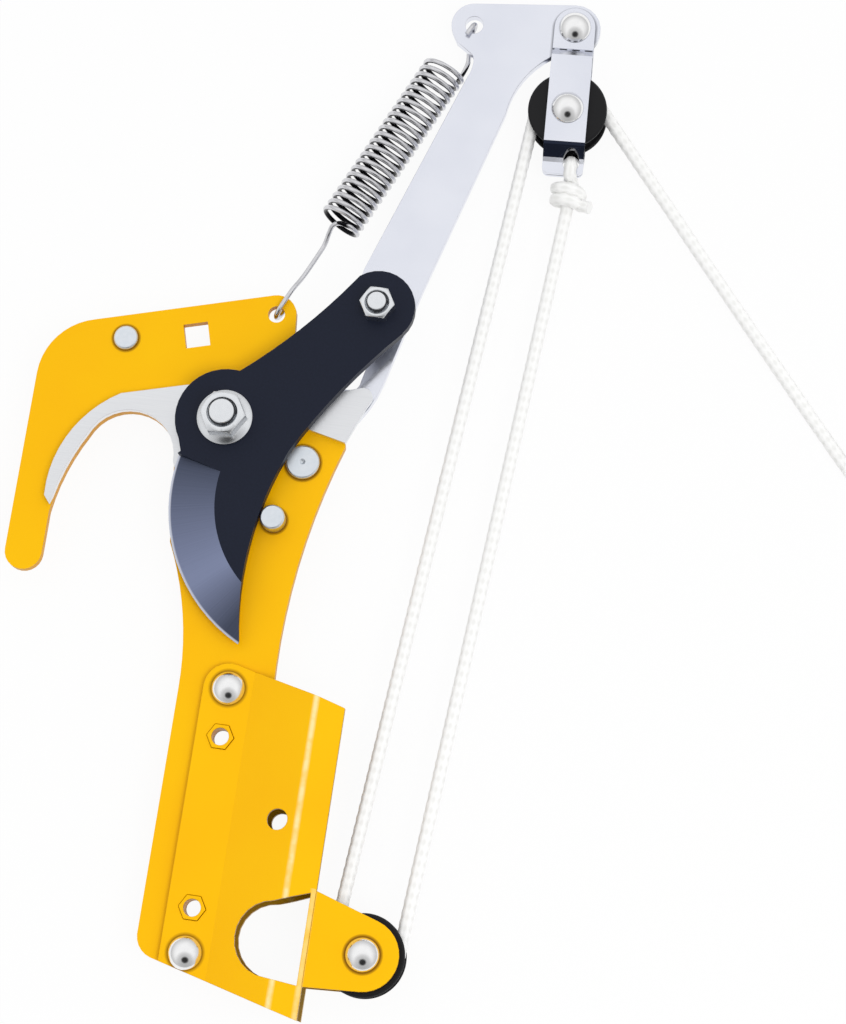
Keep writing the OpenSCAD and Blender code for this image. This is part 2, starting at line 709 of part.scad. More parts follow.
foot_path = concat(
    [for (i = [0.05, curl_ease]) on_curl(curl_count + i)],
    [on_spring(coil_end + 0.9, 1.2, 5.2), on_spring(coil_end + 2.6, -0.6, 4.2),
     on_spring(coil_end + 5, -0.7, 2.2), on_spring(coil_end + 8, -0.2, 0.9),
     on_spring(coil_end + 11, 0, 0.6), on_spring(spring_span - 16, 0, 0.6),
     on_spring(spring_span - 9.5, 0, low_clear), on_spring(spring_span - 5, 0, low_clear)],
    [for (a = [90:-30:-90]) on_spring(spring_span - hook_set + low_clear * cos(a), 0, low_clear * sin(a))],
    [on_spring(spring_span - 4, 0, -low_clear), on_spring(spring_span - 7, 0, -low_clear)]);

module return_spring() {
    color(steel) tube(spring_path, wire_d / 2, 6);
}

module spring_foot() {
    color(steel) tube(foot_path, wire_d / 2, 6);
}

// The rope is tied under the block, runs round the lower pulley, back up and over the upper
// pulley, and leaves as a tail that ends in a coil
knot_d = 12.5;
knot_h = 8.5;
knot_face_r = 4.2;
rope_gap = 0.2;
loop_r = rope_r + 2.2;
loop_y = becket.y - loop_r + 0.6;
leg_h = 2.8;
knot_y = loop_y - leg_h - rope_gap - knot_h / 2;
function in_block(x, y, z) =
    [block.x + x * cos(block_tilt) - y * sin(block_tilt),
     block.y + x * sin(block_tilt) + y * cos(block_tilt), lever_mid + z];
function lift(p, z) = [p.x, p.y, z];
function between(a, b, n) = [for (i = [0:n]) a + (b - a) * i / n];

becket_leg = [[-leg_h, rope_r + rope_gap], [0.7 - leg_h, rope_r + rope_gap], [-1, loop_r - 0.8]];
becket_path = concat(
    [for (p = becket_leg) in_block(becket.x, loop_y + p.x, p.y)],
    [for (a = [90:-22.5:-90]) in_block(becket.x, loop_y + loop_r * cos(a), loop_r * sin(a))],
    [for (i = [2:-1:0]) in_block(becket.x, loop_y + becket_leg[i].x, -becket_leg[i].y)]);

module rope_becket() {
    color(white) tube(becket_path, rope_r, 8, [1, 0, 0]);
}

module rope_knot() {
    color(white) at_block() translate([becket.x, knot_y, 0]) rotate([90, 0, 0]) rotate_extrude()
        polygon(concat([[0, -knot_h / 2]],
                       arc3([knot_face_r, -knot_h / 2], [knot_d / 2, 0], [knot_face_r, knot_h / 2]),
                       [[0, knot_h / 2]]));
}

run_start = in_block(becket.x, knot_y - knot_h / 2 - 2 * rope_gap, 0);
lower_in = touch(flat(run_start), lower, rope_line_r, false);
line_angle = atan2(upper.y - lower.y, upper.x - lower.x);
lower_out = lower + polar(rope_line_r, line_angle + 90);
upper_in = upper + polar(rope_line_r, line_angle + 90);
tail_angle = 41;
run_rings = 20;
rope_run_path = concat(
    between(run_start, lift(lower_in, 0), run_rings),
    [for (p = arc(lower, rope_line_r, bearing(lower_in), line_angle - 270, 10)) lift(p, 0)],
    between(lift(lower_out, 0), lift(upper_in, lever_mid), run_rings),
    [for (p = arc(upper, rope_line_r, line_angle + 90, tail_angle, 8)) lift(p, lever_mid)]);

module rope_run() {
    color(white) tube(without_repeats(rope_run_path), rope_r, 8);
}

// A path without the points that repeat the one before
function without_repeats(path) =
    [for (i = [0:len(path) - 1]) if (i == 0 || norm(path[i] - path[max(i - 1, 0)]) > 0.01) path[i]];

// The tail comes down to the surface in a straight pull, and the rest of its length is
// wound in layers that spiral in and out again
tail_dir = [sin(tail_angle), -cos(tail_angle)];
tail_start = upper + polar(rope_line_r, tail_angle) + rope_gap * tail_dir;
tail_route = [[72, 243, -3.8], [82, 231.4, -4.3], [93, 218.8, -5.4], [104, 206.1, -6.8],
              [115, 193.5, -8], [126, 180.8, -8.8], [137, 168.2, -9.4], [148, 155.5, -9.7],
              [158, 144, -9.6], [166, 134.8, -9.2]];
coil_at = [200.5, 142.5];
coil_pitch = rope_d + 0.5;
coil_out = 31.5;
coil_in = coil_out - coil_loops * coil_pitch;
coil_from = 221;
coil_steps = 24;
coil_layers = 4;
coil_turns = coil_layers * coil_loops - 0.8;
tie_t = 0.6;
tie_gap = 0.3;
tie_w = 6;
coil_z = floor_z + tie_t + tie_gap + rope_r;
end_climb = 2.4;
function ramp(t) = let (f = min(max(t, 0), 1)) f * f * (3 - 2 * f);
function coil_radius(t) = let (layer = floor(t / coil_loops), f = t - layer * coil_loops)
    layer % 2 == 0 ? coil_out - coil_pitch * f : coil_in + coil_pitch * f;
function climbed(t, k = 1) = k == coil_layers ? 0
    : ramp((t - k * coil_loops + 0.25) / 0.5) + climbed(t, k + 1);
function coil_height(t) = coil_z + coil_pitch * climbed(t)
    + end_climb * ramp((t - coil_turns + 0.5) / 0.45);
function coil_point(t) = lift(coil_at + polar(coil_radius(t), coil_from + 360 * t), coil_height(t));
function coil_dir(t) = polar(1, coil_from + 360 * t + 90);
coil_entry = coil_point(0) - rope_d * lift(coil_dir(0), 0);
coil_exit = coil_point(coil_turns) + rope_d * lift(coil_dir(coil_turns), 0);
coil_path = concat([coil_entry], [for (i = [0:coil_turns * coil_steps]) coil_point(i / coil_steps)],
                   [coil_point(coil_turns), coil_exit]);
tail_path = concat([lift(tail_start, lever_mid)], tail_route,
                   [coil_entry - rope_gap * lift(coil_dir(0), 0)]);
end_knot_d = 8.5;
end_knot_h = 8;
end_face_r = 2.6;

module rope_tail() {
    color(white) tube(tail_path, rope_r, 8);
}

module rope_coil() {
    color(white) tube(without_repeats(coil_path), rope_r, 6);
}

module rope_tie() {
    low = floor_z + tie_t;
    high = coil_z + (coil_layers - 1) * coil_pitch + rope_r + tie_gap;
    near = coil_in - rope_r - tie_gap;
    far = coil_out + rope_r + tie_gap;
    color(white) translate([coil_at.x, coil_at.y, 0]) rotate([0, 0, 60]) translate([0, tie_w / 2, 0])
        rotate([90, 0, 0]) linear_extrude(tie_w) difference() {
            translate([near - tie_t, low - tie_t]) square([far - near + 2 * tie_t, high - low + 2 * tie_t]);
            translate([near, low]) square([far - near, high - low]);
        }
}

module rope_end() {
    a = coil_from + 360 * coil_turns + 90;
    side = arc3([end_face_r, 0], [end_knot_d / 2, end_knot_h / 2], [end_face_r, end_knot_h]);
    color(white) translate(coil_exit + rope_gap * lift(coil_dir(coil_turns), 0)) rotate([0, 90, a])
        rotate_extrude() polygon(concat([[0, 0]], side, [[0, end_knot_h]]));
}

echo(spring_gap = least_gap(spring_path, wire_d / 2, 6), coil_gap = least_gap(coil_path, rope_r, 12));

frame_plate();
counter_blade();
counter_rivets();
hook_rivet();
guide_rivet();
stop_pin();
socket_front();
socket_back();
socket_rivets();
clamp_nuts();
lower_axle();
lower_pulley();
cutting_blade();
lever();
pivot_bush();
pivot_bolt();
pivot_nut();
arm_spacer();
arm_bolt();
arm_nut();
strap_front();
strap_back();
block_rivet();
upper_axle();
upper_pulley();
return_spring();
spring_foot();
rope_becket();
rope_knot();
rope_run();
rope_tail();
rope_coil();
rope_tie();
rope_end();
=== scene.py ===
import json
import math

import bmesh
import bpy
from mathutils import Matrix, Vector


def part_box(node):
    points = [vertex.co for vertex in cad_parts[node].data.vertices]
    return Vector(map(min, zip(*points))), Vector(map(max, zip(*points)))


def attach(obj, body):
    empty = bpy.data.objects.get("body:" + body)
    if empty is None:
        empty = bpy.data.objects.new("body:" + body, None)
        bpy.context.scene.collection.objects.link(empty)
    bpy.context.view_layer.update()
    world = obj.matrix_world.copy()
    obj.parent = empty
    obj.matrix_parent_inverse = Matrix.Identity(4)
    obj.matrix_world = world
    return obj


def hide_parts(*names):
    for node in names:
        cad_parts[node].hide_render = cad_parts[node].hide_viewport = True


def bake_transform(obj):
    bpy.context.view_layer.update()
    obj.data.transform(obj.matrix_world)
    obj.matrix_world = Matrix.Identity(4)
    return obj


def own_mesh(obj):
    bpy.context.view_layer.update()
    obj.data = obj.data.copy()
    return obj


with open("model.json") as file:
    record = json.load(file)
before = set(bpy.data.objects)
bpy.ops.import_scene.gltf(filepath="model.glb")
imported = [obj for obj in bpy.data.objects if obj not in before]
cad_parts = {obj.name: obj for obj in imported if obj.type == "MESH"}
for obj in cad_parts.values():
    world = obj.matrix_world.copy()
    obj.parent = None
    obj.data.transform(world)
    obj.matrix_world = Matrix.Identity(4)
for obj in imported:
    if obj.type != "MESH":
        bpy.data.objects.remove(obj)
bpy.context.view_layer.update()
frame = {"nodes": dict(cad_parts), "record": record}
nodes = frame["nodes"]


# The head lies on its back and is seen from above, a little from the pole's end and from the
# right. The picture is turned so that the pole leans over to the left at its lower end, and one
# pixel of it is 0.32 mm on the head.
MM = 0.001
lean = math.radians(8.5)
page_right = Vector((math.cos(lean), math.sin(lean), 0))
page_up = Vector((-math.sin(lean), math.cos(lean), 0))
from_right, from_low = math.sin(math.radians(3)), math.sin(math.radians(12))
to_eye = from_right * page_right - from_low * page_up
to_eye.z = math.sqrt(1 - to_eye.length_squared)
eye_distance = 0.9
looks_at = Vector((0.0298, 0.1044, 0))
picture_w = 846
pixel_size = 0.32 * MM
sensor_w = 36

camera = bpy.data.objects.new("camera", bpy.data.cameras.new("camera"))
camera.data.sensor_fit = "HORIZONTAL"
camera.data.sensor_width = sensor_w
camera.data.lens = sensor_w * eye_distance / pixel_size / picture_w
camera.data.clip_start = 0.01
right = page_up.cross(to_eye).normalized()
turned = Matrix((right, to_eye.cross(right), to_eye)).transposed().to_4x4()
camera.matrix_world = Matrix.Translation(looks_at + eye_distance * to_eye) @ turned
bpy.context.scene.collection.objects.link(camera)
bpy.context.scene.camera = camera
bpy.context.scene.view_settings.view_transform = "Standard"


# The rope is a 4 mm cord of white polyester in a round braid. Its strands show as small swells,
# which are raised in the mesh, and its yarn as fine lines. The lines are about 0.35 mm apart,
# coarser than real yarn, so that they show.
rope_r = 2 * MM
rope_strands = 6
rope_plait = 3.4 * MM
rope_swell = 0.16 * MM
rope_sides = 24
rope_step = 0.85 * MM
hollow_deep, hollow_end = -1.6, 0.2
yarn_lines, yarn_lean, yarn_rise = 36, 2, 0.05 * MM


def linear(hex_colour):
    """A colour written in sRGB hex as linear red, green, blue and alpha."""
    parts = [int(hex_colour[i:i + 2], 16) / 255 for i in (1, 3, 5)]
    return tuple(c / 12.92 if c <= 0.04045 else ((c + 0.055) / 1.055) ** 2.4 for c in parts) + (1,)


def feed(tree, sockets, values):
    """Links each of the named sockets to another socket, or sets it to a plain value."""
    for key, value in values.items():
        if isinstance(value, bpy.types.NodeSocket):
            tree.links.new(value, sockets[key])
        else:
            sockets[key].default_value = value


def add(tree, kind, inputs=None, **settings):
    """Adds a node, with its settings, and sets or links its inputs by name or place."""
    node = tree.nodes.new(kind)
    for name, value in settings.items():
        setattr(node, name, value)
    feed(tree, node.inputs, inputs or {})
    return node.outputs


def surface(name):
    """A new material, its node tree and the sockets of its shader."""
    made = bpy.data.materials.new(name)
    made.use_nodes = True
    return made, made.node_tree, made.node_tree.nodes["Principled BSDF"].inputs


def wave(tree, value, turns):
    """The cosine of a value that runs through so many turns for each unit."""
    angle = add(tree, "ShaderNodeMath", {0: value, 1: turns * math.tau}, operation="MULTIPLY")
    return add(tree, "ShaderNodeMath", {0: angle[0]}, operation="COSINE")[0]


def braid(tree, around, along):
    """How high the braid stands, from -2 in its hollows to 2 on its strands."""
    return add(tree, "ShaderNodeMath", {0: wave(tree, around, rope_strands),
                                        1: wave(tree, along, 1 / rope_plait)}, operation="ADD")[0]


sweep = bpy.data.node_groups.new("sweep along a path", "GeometryNodeTree")
for label, kind in [("Path", "Geometry"), ("Radius", "Float"), ("Sides", "Int"), ("Step", "Float"),
                    ("Swell", "Float"), ("Finish", "Material")]:
    sweep.interface.new_socket(label, in_out="INPUT", socket_type="NodeSocket" + kind)
sweep.interface.new_socket("Mesh", in_out="OUTPUT", socket_type="NodeSocketGeometry")
given = add(sweep, "NodeGroupInput")
line = add(sweep, "GeometryNodeMeshToCurve", {"Mesh": given["Path"]})["Curve"]
even = add(sweep, "GeometryNodeResampleCurve", {"Curve": line, "Length": given["Step"]},
           mode="LENGTH")[0]
measure = add(sweep, "GeometryNodeSplineParameter")
even = add(sweep, "GeometryNodeStoreNamedAttribute",
           {"Geometry": even, "Name": "along", "Value": measure["Length"]}, domain="POINT")[0]
ring = add(sweep, "GeometryNodeCurvePrimitiveCircle",
           {"Resolution": given["Sides"], "Radius": given["Radius"]}, mode="RADIUS")[0]
ring = add(sweep, "GeometryNodeStoreNamedAttribute",
           {"Geometry": ring, "Name": "around", "Value": measure["Factor"]}, domain="POINT")[0]
tube = add(sweep, "GeometryNodeCurveToMesh",
           {"Curve": even, "Profile Curve": ring, "Fill Caps": True})[0]
along = add(sweep, "GeometryNodeInputNamedAttribute", {"Name": "along"}, data_type="FLOAT")[0]
around = add(sweep, "GeometryNodeInputNamedAttribute", {"Name": "around"}, data_type="FLOAT")[0]
rise = add(sweep, "ShaderNodeMath", {0: braid(sweep, around, along), 1: given["Swell"]},
           operation="MULTIPLY")[0]
outward = add(sweep, "GeometryNodeInputNormal")[0]
offset = add(sweep, "ShaderNodeVectorMath", {0: outward, "Scale": rise}, operation="SCALE")[0]
tube = add(sweep, "GeometryNodeSetPosition", {"Geometry": tube, "Offset": offset})[0]
tube = add(sweep, "GeometryNodeSetShadeSmooth", {"Geometry": tube})[0]
tube = add(sweep, "GeometryNodeRealizeInstances", {"Geometry": tube})[0]
tube = add(sweep, "GeometryNodeSetMaterial", {"Geometry": tube, "Material": given["Finish"]})[0]
add(sweep, "NodeGroupOutput", {"Mesh": tube})


def swept(name, path, radius, sides, step, finish, swell=0.0):
    """A round tube along a path, as a plain mesh with its faces outwards."""
    points = [Vector(p) for p in path]
    mesh = bpy.data.meshes.new(name)
    mesh.from_pydata(points, [(i, i + 1) for i in range(len(points) - 1)], [])
    piece = bpy.data.objects.new(name, mesh)
    bpy.context.scene.collection.objects.link(piece)
    modifier = piece.modifiers.new("sweep", "NODES")
    modifier.node_group = sweep
    values = {"Radius": radius, "Sides": sides, "Step": step, "Swell": swell, "Finish": finish}
    for item in sweep.interface.items_tree:
        if item.name in values:
            modifier[item.identifier] = values[item.name]
    shown = piece.evaluated_get(bpy.context.evaluated_depsgraph_get())
    piece.data = bpy.data.meshes.new_from_object(shown)
    piece.modifiers.clear()
    bpy.data.meshes.remove(mesh)
    build = bmesh.new()
    build.from_mesh(piece.data)
    bmesh.ops.recalc_face_normals(build, faces=build.faces)
    build.to_mesh(piece.data)
    build.free()
    piece.data.name = name
    return piece


# Braided polyester is a soft white without gloss, with painted shade that greys the hollows
# between the strands, and a little fuzz at its rim.
white_rope, tree, shader = surface("braided polyester rope")
along = add(tree, "ShaderNodeAttribute", attribute_name="along")["Fac"]
around = add(tree, "ShaderNodeAttribute", attribute_name="around")["Fac"]
# Painted shade: the hollows of the braid are greyed by their depth.
hollow_shade = add(tree, "ShaderNodeMapRange", {"Value": braid(tree, around, along),
                                          "From Min": hollow_deep, "From Max": hollow_end})[0]
tone = add(tree, "ShaderNodeMix", {0: hollow_shade, 6: linear("#f2f2f0"), 7: linear("#fdfdfc")},
           data_type="RGBA")[2]
turn = add(tree, "ShaderNodeMath", {0: around, 1: yarn_lines}, operation="MULTIPLY")[0]
run = add(tree, "ShaderNodeMath", {0: along, 1: yarn_lean / rope_plait}, operation="MULTIPLY")[0]
yarn = add(tree, "ShaderNodeMath", {0: turn, 1: run}, operation="ADD")[0]
bump = add(tree, "ShaderNodeBump", {"Strength": 0.25, "Distance": yarn_rise,
                                    "Height": wave(tree, yarn, 1)})[0]
feed(tree, shader, {"Base Color": tone, "Normal": bump, "Roughness": 0.8, "Sheen Weight": 0.2})


def rope_piece(name, path, radius=rope_r):
    """A length of the rope along a path."""
    return swept(name, path, radius, rope_sides, rope_step, white_rope, rope_swell / 2)


# The rope's free end comes off the upper pulley, comes down to the table in a long pull and
# goes out of the picture. The rest of its length lies beside the head in a round coil, wound in
# layers, with room under it for the tie.
block_at = Vector((55.4807, 273.6558)) * MM
block_tilt = math.radians(3)
axle_drop = 29.3 * MM
rope_line_r = 10.5 * MM
rope_z = -3.7 * MM
table_z = -11.8 * MM
upper_at = block_at + axle_drop * Vector((math.sin(block_tilt), -math.cos(block_tilt)))


def polar(r, degrees):
    """A point in the plane at a distance and a direction."""
    return Vector((r * math.cos(math.radians(degrees)), r * math.sin(math.radians(degrees))))


def lift(point, z):
    """A point of the plane at a height."""
    return Vector((point[0], point[1], z))


def ramp(t):
    """A smooth step from 0 to 1."""
    f = min(max(t, 0), 1)
    return f * f * (3 - 2 * f)


def smooth(points, parts):
    """The points again, with a smooth curve through them in so many parts for each step."""
    p = [Vector(q) for q in points]
    p = [2 * p[0] - p[1]] + p + [2 * p[-1] - p[-2]]
    made = []
    for a, b, c, d in zip(p, p[1:], p[2:], p[3:]):
        for i in range(parts):
            t = i / parts
            made.append(0.5 * (2 * b + (c - a) * t + (2 * a - 5 * b + 4 * c - d) * t ** 2
                               + (3 * b - a - 3 * c + d) * t ** 3))
    return made + [p[-2]]


tail_angle, tail_parts = 41, 8
tail_start = upper_at + polar(rope_line_r, tail_angle)
tail_route = [(72, 243, -3.8), (82, 231.4, -4.3), (93, 218.8, -5.4), (104, 206.1, -6.8),
              (115, 193.5, -8), (126, 180.8, -8.8), (137, 168.2, -9.4), (148, 155.5, -9.7),
              (158, 144, -9.6), (166, 134.8, -9.2)]
coil_at = Vector((200.5, 142.5)) * MM
coil_loops, coil_layers, coil_steps, coil_parts = 4, 4, 24, 2
coil_pitch = 4.5 * MM
coil_out = 31.5 * MM
coil_in = coil_out - coil_loops * coil_pitch
coil_from = 221
last_turn_short = 0.8
coil_turns = coil_layers * coil_loops - last_turn_short
tie_room = 0.9 * MM
coil_z = table_z + tie_room + rope_r
climb_turns = 0.5
end_climb, end_climb_turns = 2.4 * MM, 0.45


def coil_point(t):
    """The middle of the rope after t turns, spiralling in and out in layers."""
    layer = min(int(t // coil_loops), coil_layers - 1)
    f = (t - layer * coil_loops) * coil_pitch
    r = coil_out - f if layer % 2 == 0 else coil_in + f
    climbs = sum(ramp((t - k * coil_loops + climb_turns / 2) / climb_turns)
                 for k in range(1, coil_layers))
    last = ramp((t - coil_turns + climb_turns) / end_climb_turns)
    z = coil_z + coil_pitch * climbs + end_climb * last
    return lift(coil_at + polar(r, coil_from + 360 * t), z)


def coil_way(t):
    """The direction in which the coil runs after t turns."""
    return lift(polar(1, coil_from + 360 * t + 90), 0)


rope_d = 2 * rope_r
coil_entry = coil_point(0) - rope_d * coil_way(0)
coil_exit = coil_point(coil_turns) + rope_d * coil_way(coil_turns)
tail_points = [lift(tail_start, rope_z)] + [Vector(p) * MM for p in tail_route] + [coil_entry]
coil_points = [coil_point(i / coil_steps) for i in range(int(coil_turns * coil_steps) + 1)]
coil_points += [coil_point(coil_turns), coil_exit]
free_path = smooth(tail_points, tail_parts) + smooth(coil_points, coil_parts)
free_rope = rope_piece("free_rope", free_path)
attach(free_rope, "block")
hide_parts("rope_tail", "rope_coil")

# The rope's end is tied in a stopper knot: two close turns of the rope round its own end, drawn
# tight so that the rope is thinner in them.
stopper_turn_r = 2.5 * MM
stopper_rope_r = 1.75 * MM
stopper_pitch = 3.4 * MM
stopper_turns, stopper_steps = 2.1, 48
stopper_gap = 0.8 * MM
end_way = coil_way(coil_turns)
end_side = Vector((-end_way.y, end_way.x, 0))
stopper_path = []
for i in range(stopper_steps + 1):
    a = stopper_turns * math.tau * i / stopper_steps
    arm = stopper_turn_r * (math.cos(a) * end_side + math.sin(a) * Vector((0, 0, 1)))
    stopper_path.append(coil_exit + (stopper_gap + stopper_pitch * a / math.tau) * end_way + arm)
stopper_knot = rope_piece("stopper_knot", stopper_path, stopper_rope_r)
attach(stopper_knot, "block")
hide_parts("rope_end")

# The coil is held by a tie of woven nylon tape, 6 mm wide, that goes once round its turns and is
# drawn tight over them.
tie_t, tie_w = 0.6 * MM, 6 * MM
tie_gap = 0.3 * MM
tie_angle, tie_step, tie_crease = 60, 8, 40
tie_band, tie_rise = 1.2 * MM, 0.1 * MM
tie_first = (tie_angle - coil_from) / 360 % 1
tied = [coil_point(tie_first + i) for i in range(int(coil_turns - tie_first) + 1)]
tied = [Vector(((p.xy - coil_at).length, p.z)) for p in tied]


def tie_outline(grow):
    """The tie's section, drawn tight round the turns that it crosses, seen along the rope."""
    return [max(tied, key=polar(1, a).dot) + polar(rope_r + tie_gap + grow, a)
            for a in range(0, 360, tie_step)]


build = bmesh.new()
rounds = []
for grow, side in [(0, -1), (tie_t, -1), (tie_t, 1), (0, 1)]:
    out, wide = polar(1, tie_angle), polar(side * tie_w / 2, tie_angle + 90)
    rounds.append([build.verts.new(lift(coil_at + p.x * out + wide, p.y))
                   for p in tie_outline(grow)])
count = len(rounds[0])
for a, b in zip(rounds, rounds[1:] + rounds[:1]):
    for i in range(count):
        build.faces.new((a[i], a[(i + 1) % count], b[(i + 1) % count], b[i]))
bmesh.ops.recalc_face_normals(build, faces=build.faces)
coil_tie = bpy.data.objects.new("coil_tie", bpy.data.meshes.new("coil_tie"))
build.to_mesh(coil_tie.data)
build.free()
coil_tie.data.shade_smooth()
coil_tie.data.set_sharp_from_angle(angle=math.radians(tie_crease))
bpy.context.scene.collection.objects.link(coil_tie)
# Woven nylon is a dull off-white with fine cross ribs. The ribs are drawn as bands about 1.2 mm
# wide, coarser than real, so that they show.
tie_web, tree, shader = surface("woven nylon tie")
place = add(tree, "ShaderNodeTexCoord")["Object"]
weave = add(tree, "ShaderNodeTexWave", {"Vector": place, "Scale": 1 / tie_band / math.tau,
                                        "Distortion": 0.6})[1]
tone = add(tree, "ShaderNodeMix", {0: weave, 6: linear("#d9d9d7"), 7: linear("#efefed")},
           data_type="RGBA")[2]
bump = add(tree, "ShaderNodeBump", {"Strength": 0.3, "Distance": tie_rise, "Height": weave})[0]
feed(tree, shader, {"Base Color": tone, "Normal": bump, "Roughness": 0.75})
coil_tie.data.materials.append(tie_web)
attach(coil_tie, "block")
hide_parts("rope_tie")

# The frame is one plate of 3.5 mm steel, punched to its outline with the hook, and powder
# coated yellow. The coat rounds its edges and has a fine orange peel.
plate_edge = 0.5 * MM
weld_gap, flat_bend, crease = 0.002 * MM, math.radians(0.3), math.radians(50)
coat_peel, peel_rise = 0.9 * MM, 0.06 * MM
coat_cloud = 40 * MM
side_shade_share = 0.6
rivet_shade_w, rivet_shade_share = 1.0 * MM, 0.75
body_of = {n: body for body, names in frame["record"]["behaviour"]["bodies"].items() for n in names}


def rounded(node, width, segments=2, sharp=32, reshape=None):
    """A reshaped copy of a node's mesh with its sharp edges rounded, which stands for the node."""
    build = bmesh.new()
    build.from_mesh(nodes[node].data)
    bmesh.ops.remove_doubles(build, verts=build.verts, dist=weld_gap)
    bmesh.ops.dissolve_limit(build, angle_limit=flat_bend, verts=build.verts, edges=build.edges)
    if reshape:
        for corner in build.verts:
            corner.co = reshape(corner.co)
    edges = [e for e in build.edges
             if e.is_manifold and e.calc_face_angle(0) > math.radians(sharp)]
    bmesh.ops.bevel(build, geom=edges, offset=width, offset_type="OFFSET", segments=segments,
                    profile=0.5, affect="EDGES", clamp_overlap=True, miter_outer="ARC")
    bmesh.ops.triangulate(build, faces=[f for f in build.faces if len(f.verts) > 4])
    piece = bpy.data.objects.new(node + "_finished", bpy.data.meshes.new(node + "_finished"))
    build.to_mesh(piece.data)
    build.free()
    piece.data.shade_smooth()
    piece.data.set_sharp_from_angle(angle=crease)
    bpy.context.scene.collection.objects.link(piece)
    weigh = piece.modifiers.new("weighted normals", "WEIGHTED_NORMAL")
    weigh.keep_sharp = True
    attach(piece, body_of[node])
    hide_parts(node)
    return piece


def dress(piece, finish):
    """Gives a piece one material all over."""
    piece.data.materials.clear()
    piece.data.materials.append(finish)


def heads_of(node):
    """The middle and radius of a rivet's head, or of the upper and lower ones of a pair."""
    low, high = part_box(node)
    head_r = (high.x - low.x) / 2
    return [Vector((low.x + head_r, y, 0)) for y in (low.y + head_r, high.y - head_r)], head_r


def powder_coat(name, side_shade_colour, riveted):
    """A glossy yellow with a fine peel, with painted shade on its steep sides and round the rivets.
    """
    made, tree, shader = surface(name)
    place = add(tree, "ShaderNodeTexCoord")["Object"]
    cloud = add(tree, "ShaderNodeTexNoise",
                {"Vector": place, "Scale": 1 / coat_cloud, "Detail": 3.0})[0]
    peel = add(tree, "ShaderNodeTexNoise",
               {"Vector": place, "Scale": 1 / coat_peel, "Detail": 1.0})[0]
    # Painted shade: the steep side faces are darkened towards the given side colour.
    normal = add(tree, "ShaderNodeNewGeometry")["True Normal"]
    facing = add(tree, "ShaderNodeSeparateXYZ", {0: normal})["Z"]
    steep = add(tree, "ShaderNodeMath", {0: facing}, operation="ABSOLUTE")[0]
    steep = add(tree, "ShaderNodeMapRange", {"Value": steep, "From Min": 0.8, "From Max": 0.2,
                                             "To Max": side_shade_share})[0]
    tone = add(tree, "ShaderNodeMix", {0: cloud, 6: linear("#fbb600"), 7: linear("#fec700")},
               data_type="RGBA")[2]
    tone = add(tree, "ShaderNodeMix", {0: steep, 6: tone, 7: linear(side_shade_colour)},
               data_type="RGBA")[2]
    flat = add(tree, "ShaderNodeVectorMath", {0: place, 1: (1, 1, 0)}, operation="MULTIPLY")[0]
    # Painted shade: a dark brown ring on the coat round each rivet head.
    for middles, head_r in map(heads_of, riveted):
        for middle in middles:
            reach = add(tree, "ShaderNodeVectorMath", {0: flat, 1: middle},
                        operation="DISTANCE")["Value"]
            rivet_shade = add(tree, "ShaderNodeMapRange",
                        {"Value": reach, "From Min": head_r + rivet_shade_w, "From Max": head_r,
                         "To Max": rivet_shade_share})[0]
            tone = add(tree, "ShaderNodeMix", {0: rivet_shade, 6: tone, 7: linear("#7d4c00")},
                       data_type="RGBA")[2]
    gloss = add(tree, "ShaderNodeMapRange", {"Value": cloud, "To Min": 0.3, "To Max": 0.42})[0]
    bump = add(tree, "ShaderNodeBump", {"Strength": 0.12, "Distance": peel_rise, "Height": peel})[0]
    feed(tree, shader, {"Base Color": tone, "Roughness": gloss, "Normal": bump,
                        "Specular IOR Level": 0.12})
    return made, tree, shader, tone


plate_coat = powder_coat("yellow powder coat on plate", "#c88400",
                         ["hook_rivet", "guide_rivet", "stop_pin"])[0]
dress(rounded("frame_plate", plate_edge, segments=3), plate_coat)

# The counter blade is a ground steel plate on the frame's face, held by studs from behind. Its
# lower edge is the throat's edge.
counter_edge = 0.15 * MM
grind, grind_run, grind_lean = 0.35 * MM, 14 * MM, math.radians(25)
line_rise = 0.02 * MM
# Ground steel is a pale, half-dull metal with fine lines across it. The lines are drawn 0.35 mm
# apart, coarser than the wheel leaves them, so that they show.
ground_steel, tree, shader = surface("ground steel")
place = add(tree, "ShaderNodeTexCoord")["Object"]
stretch = add(tree, "ShaderNodeMapping", {"Vector": place, "Rotation": (0, 0, grind_lean),
                                          "Scale": (1 / grind_run, 1 / grind, 1 / grind)})[0]
lines = add(tree, "ShaderNodeTexNoise", {"Vector": stretch, "Scale": 1.0, "Detail": 2.0})[0]
tone = add(tree, "ShaderNodeMix", {0: lines, 6: linear("#dfe1e5"), 7: linear("#f3f4f6")},
           data_type="RGBA")[2]
gloss = add(tree, "ShaderNodeMapRange", {"Value": lines, "To Min": 0.28, "To Max": 0.48})[0]
bump = add(tree, "ShaderNodeBump", {"Strength": 0.1, "Distance": line_rise, "Height": lines})[0]
feed(tree, shader, {"Base Color": tone, "Roughness": gloss, "Normal": bump, "Metallic": 1.0})
dress(rounded("counter_blade", counter_edge), ground_steel)
dress(nodes["counter_rivets"], ground_steel)

# The rivets are plated steel. Those of the socket, the block and the pulley axles are set with
# domed heads, and those on the frame with low flat ones.
dome_edge, flat_edge = 0.25 * MM, 0.15 * MM
nickel_haze, zinc_haze = 2.5 * MM, 1.5 * MM


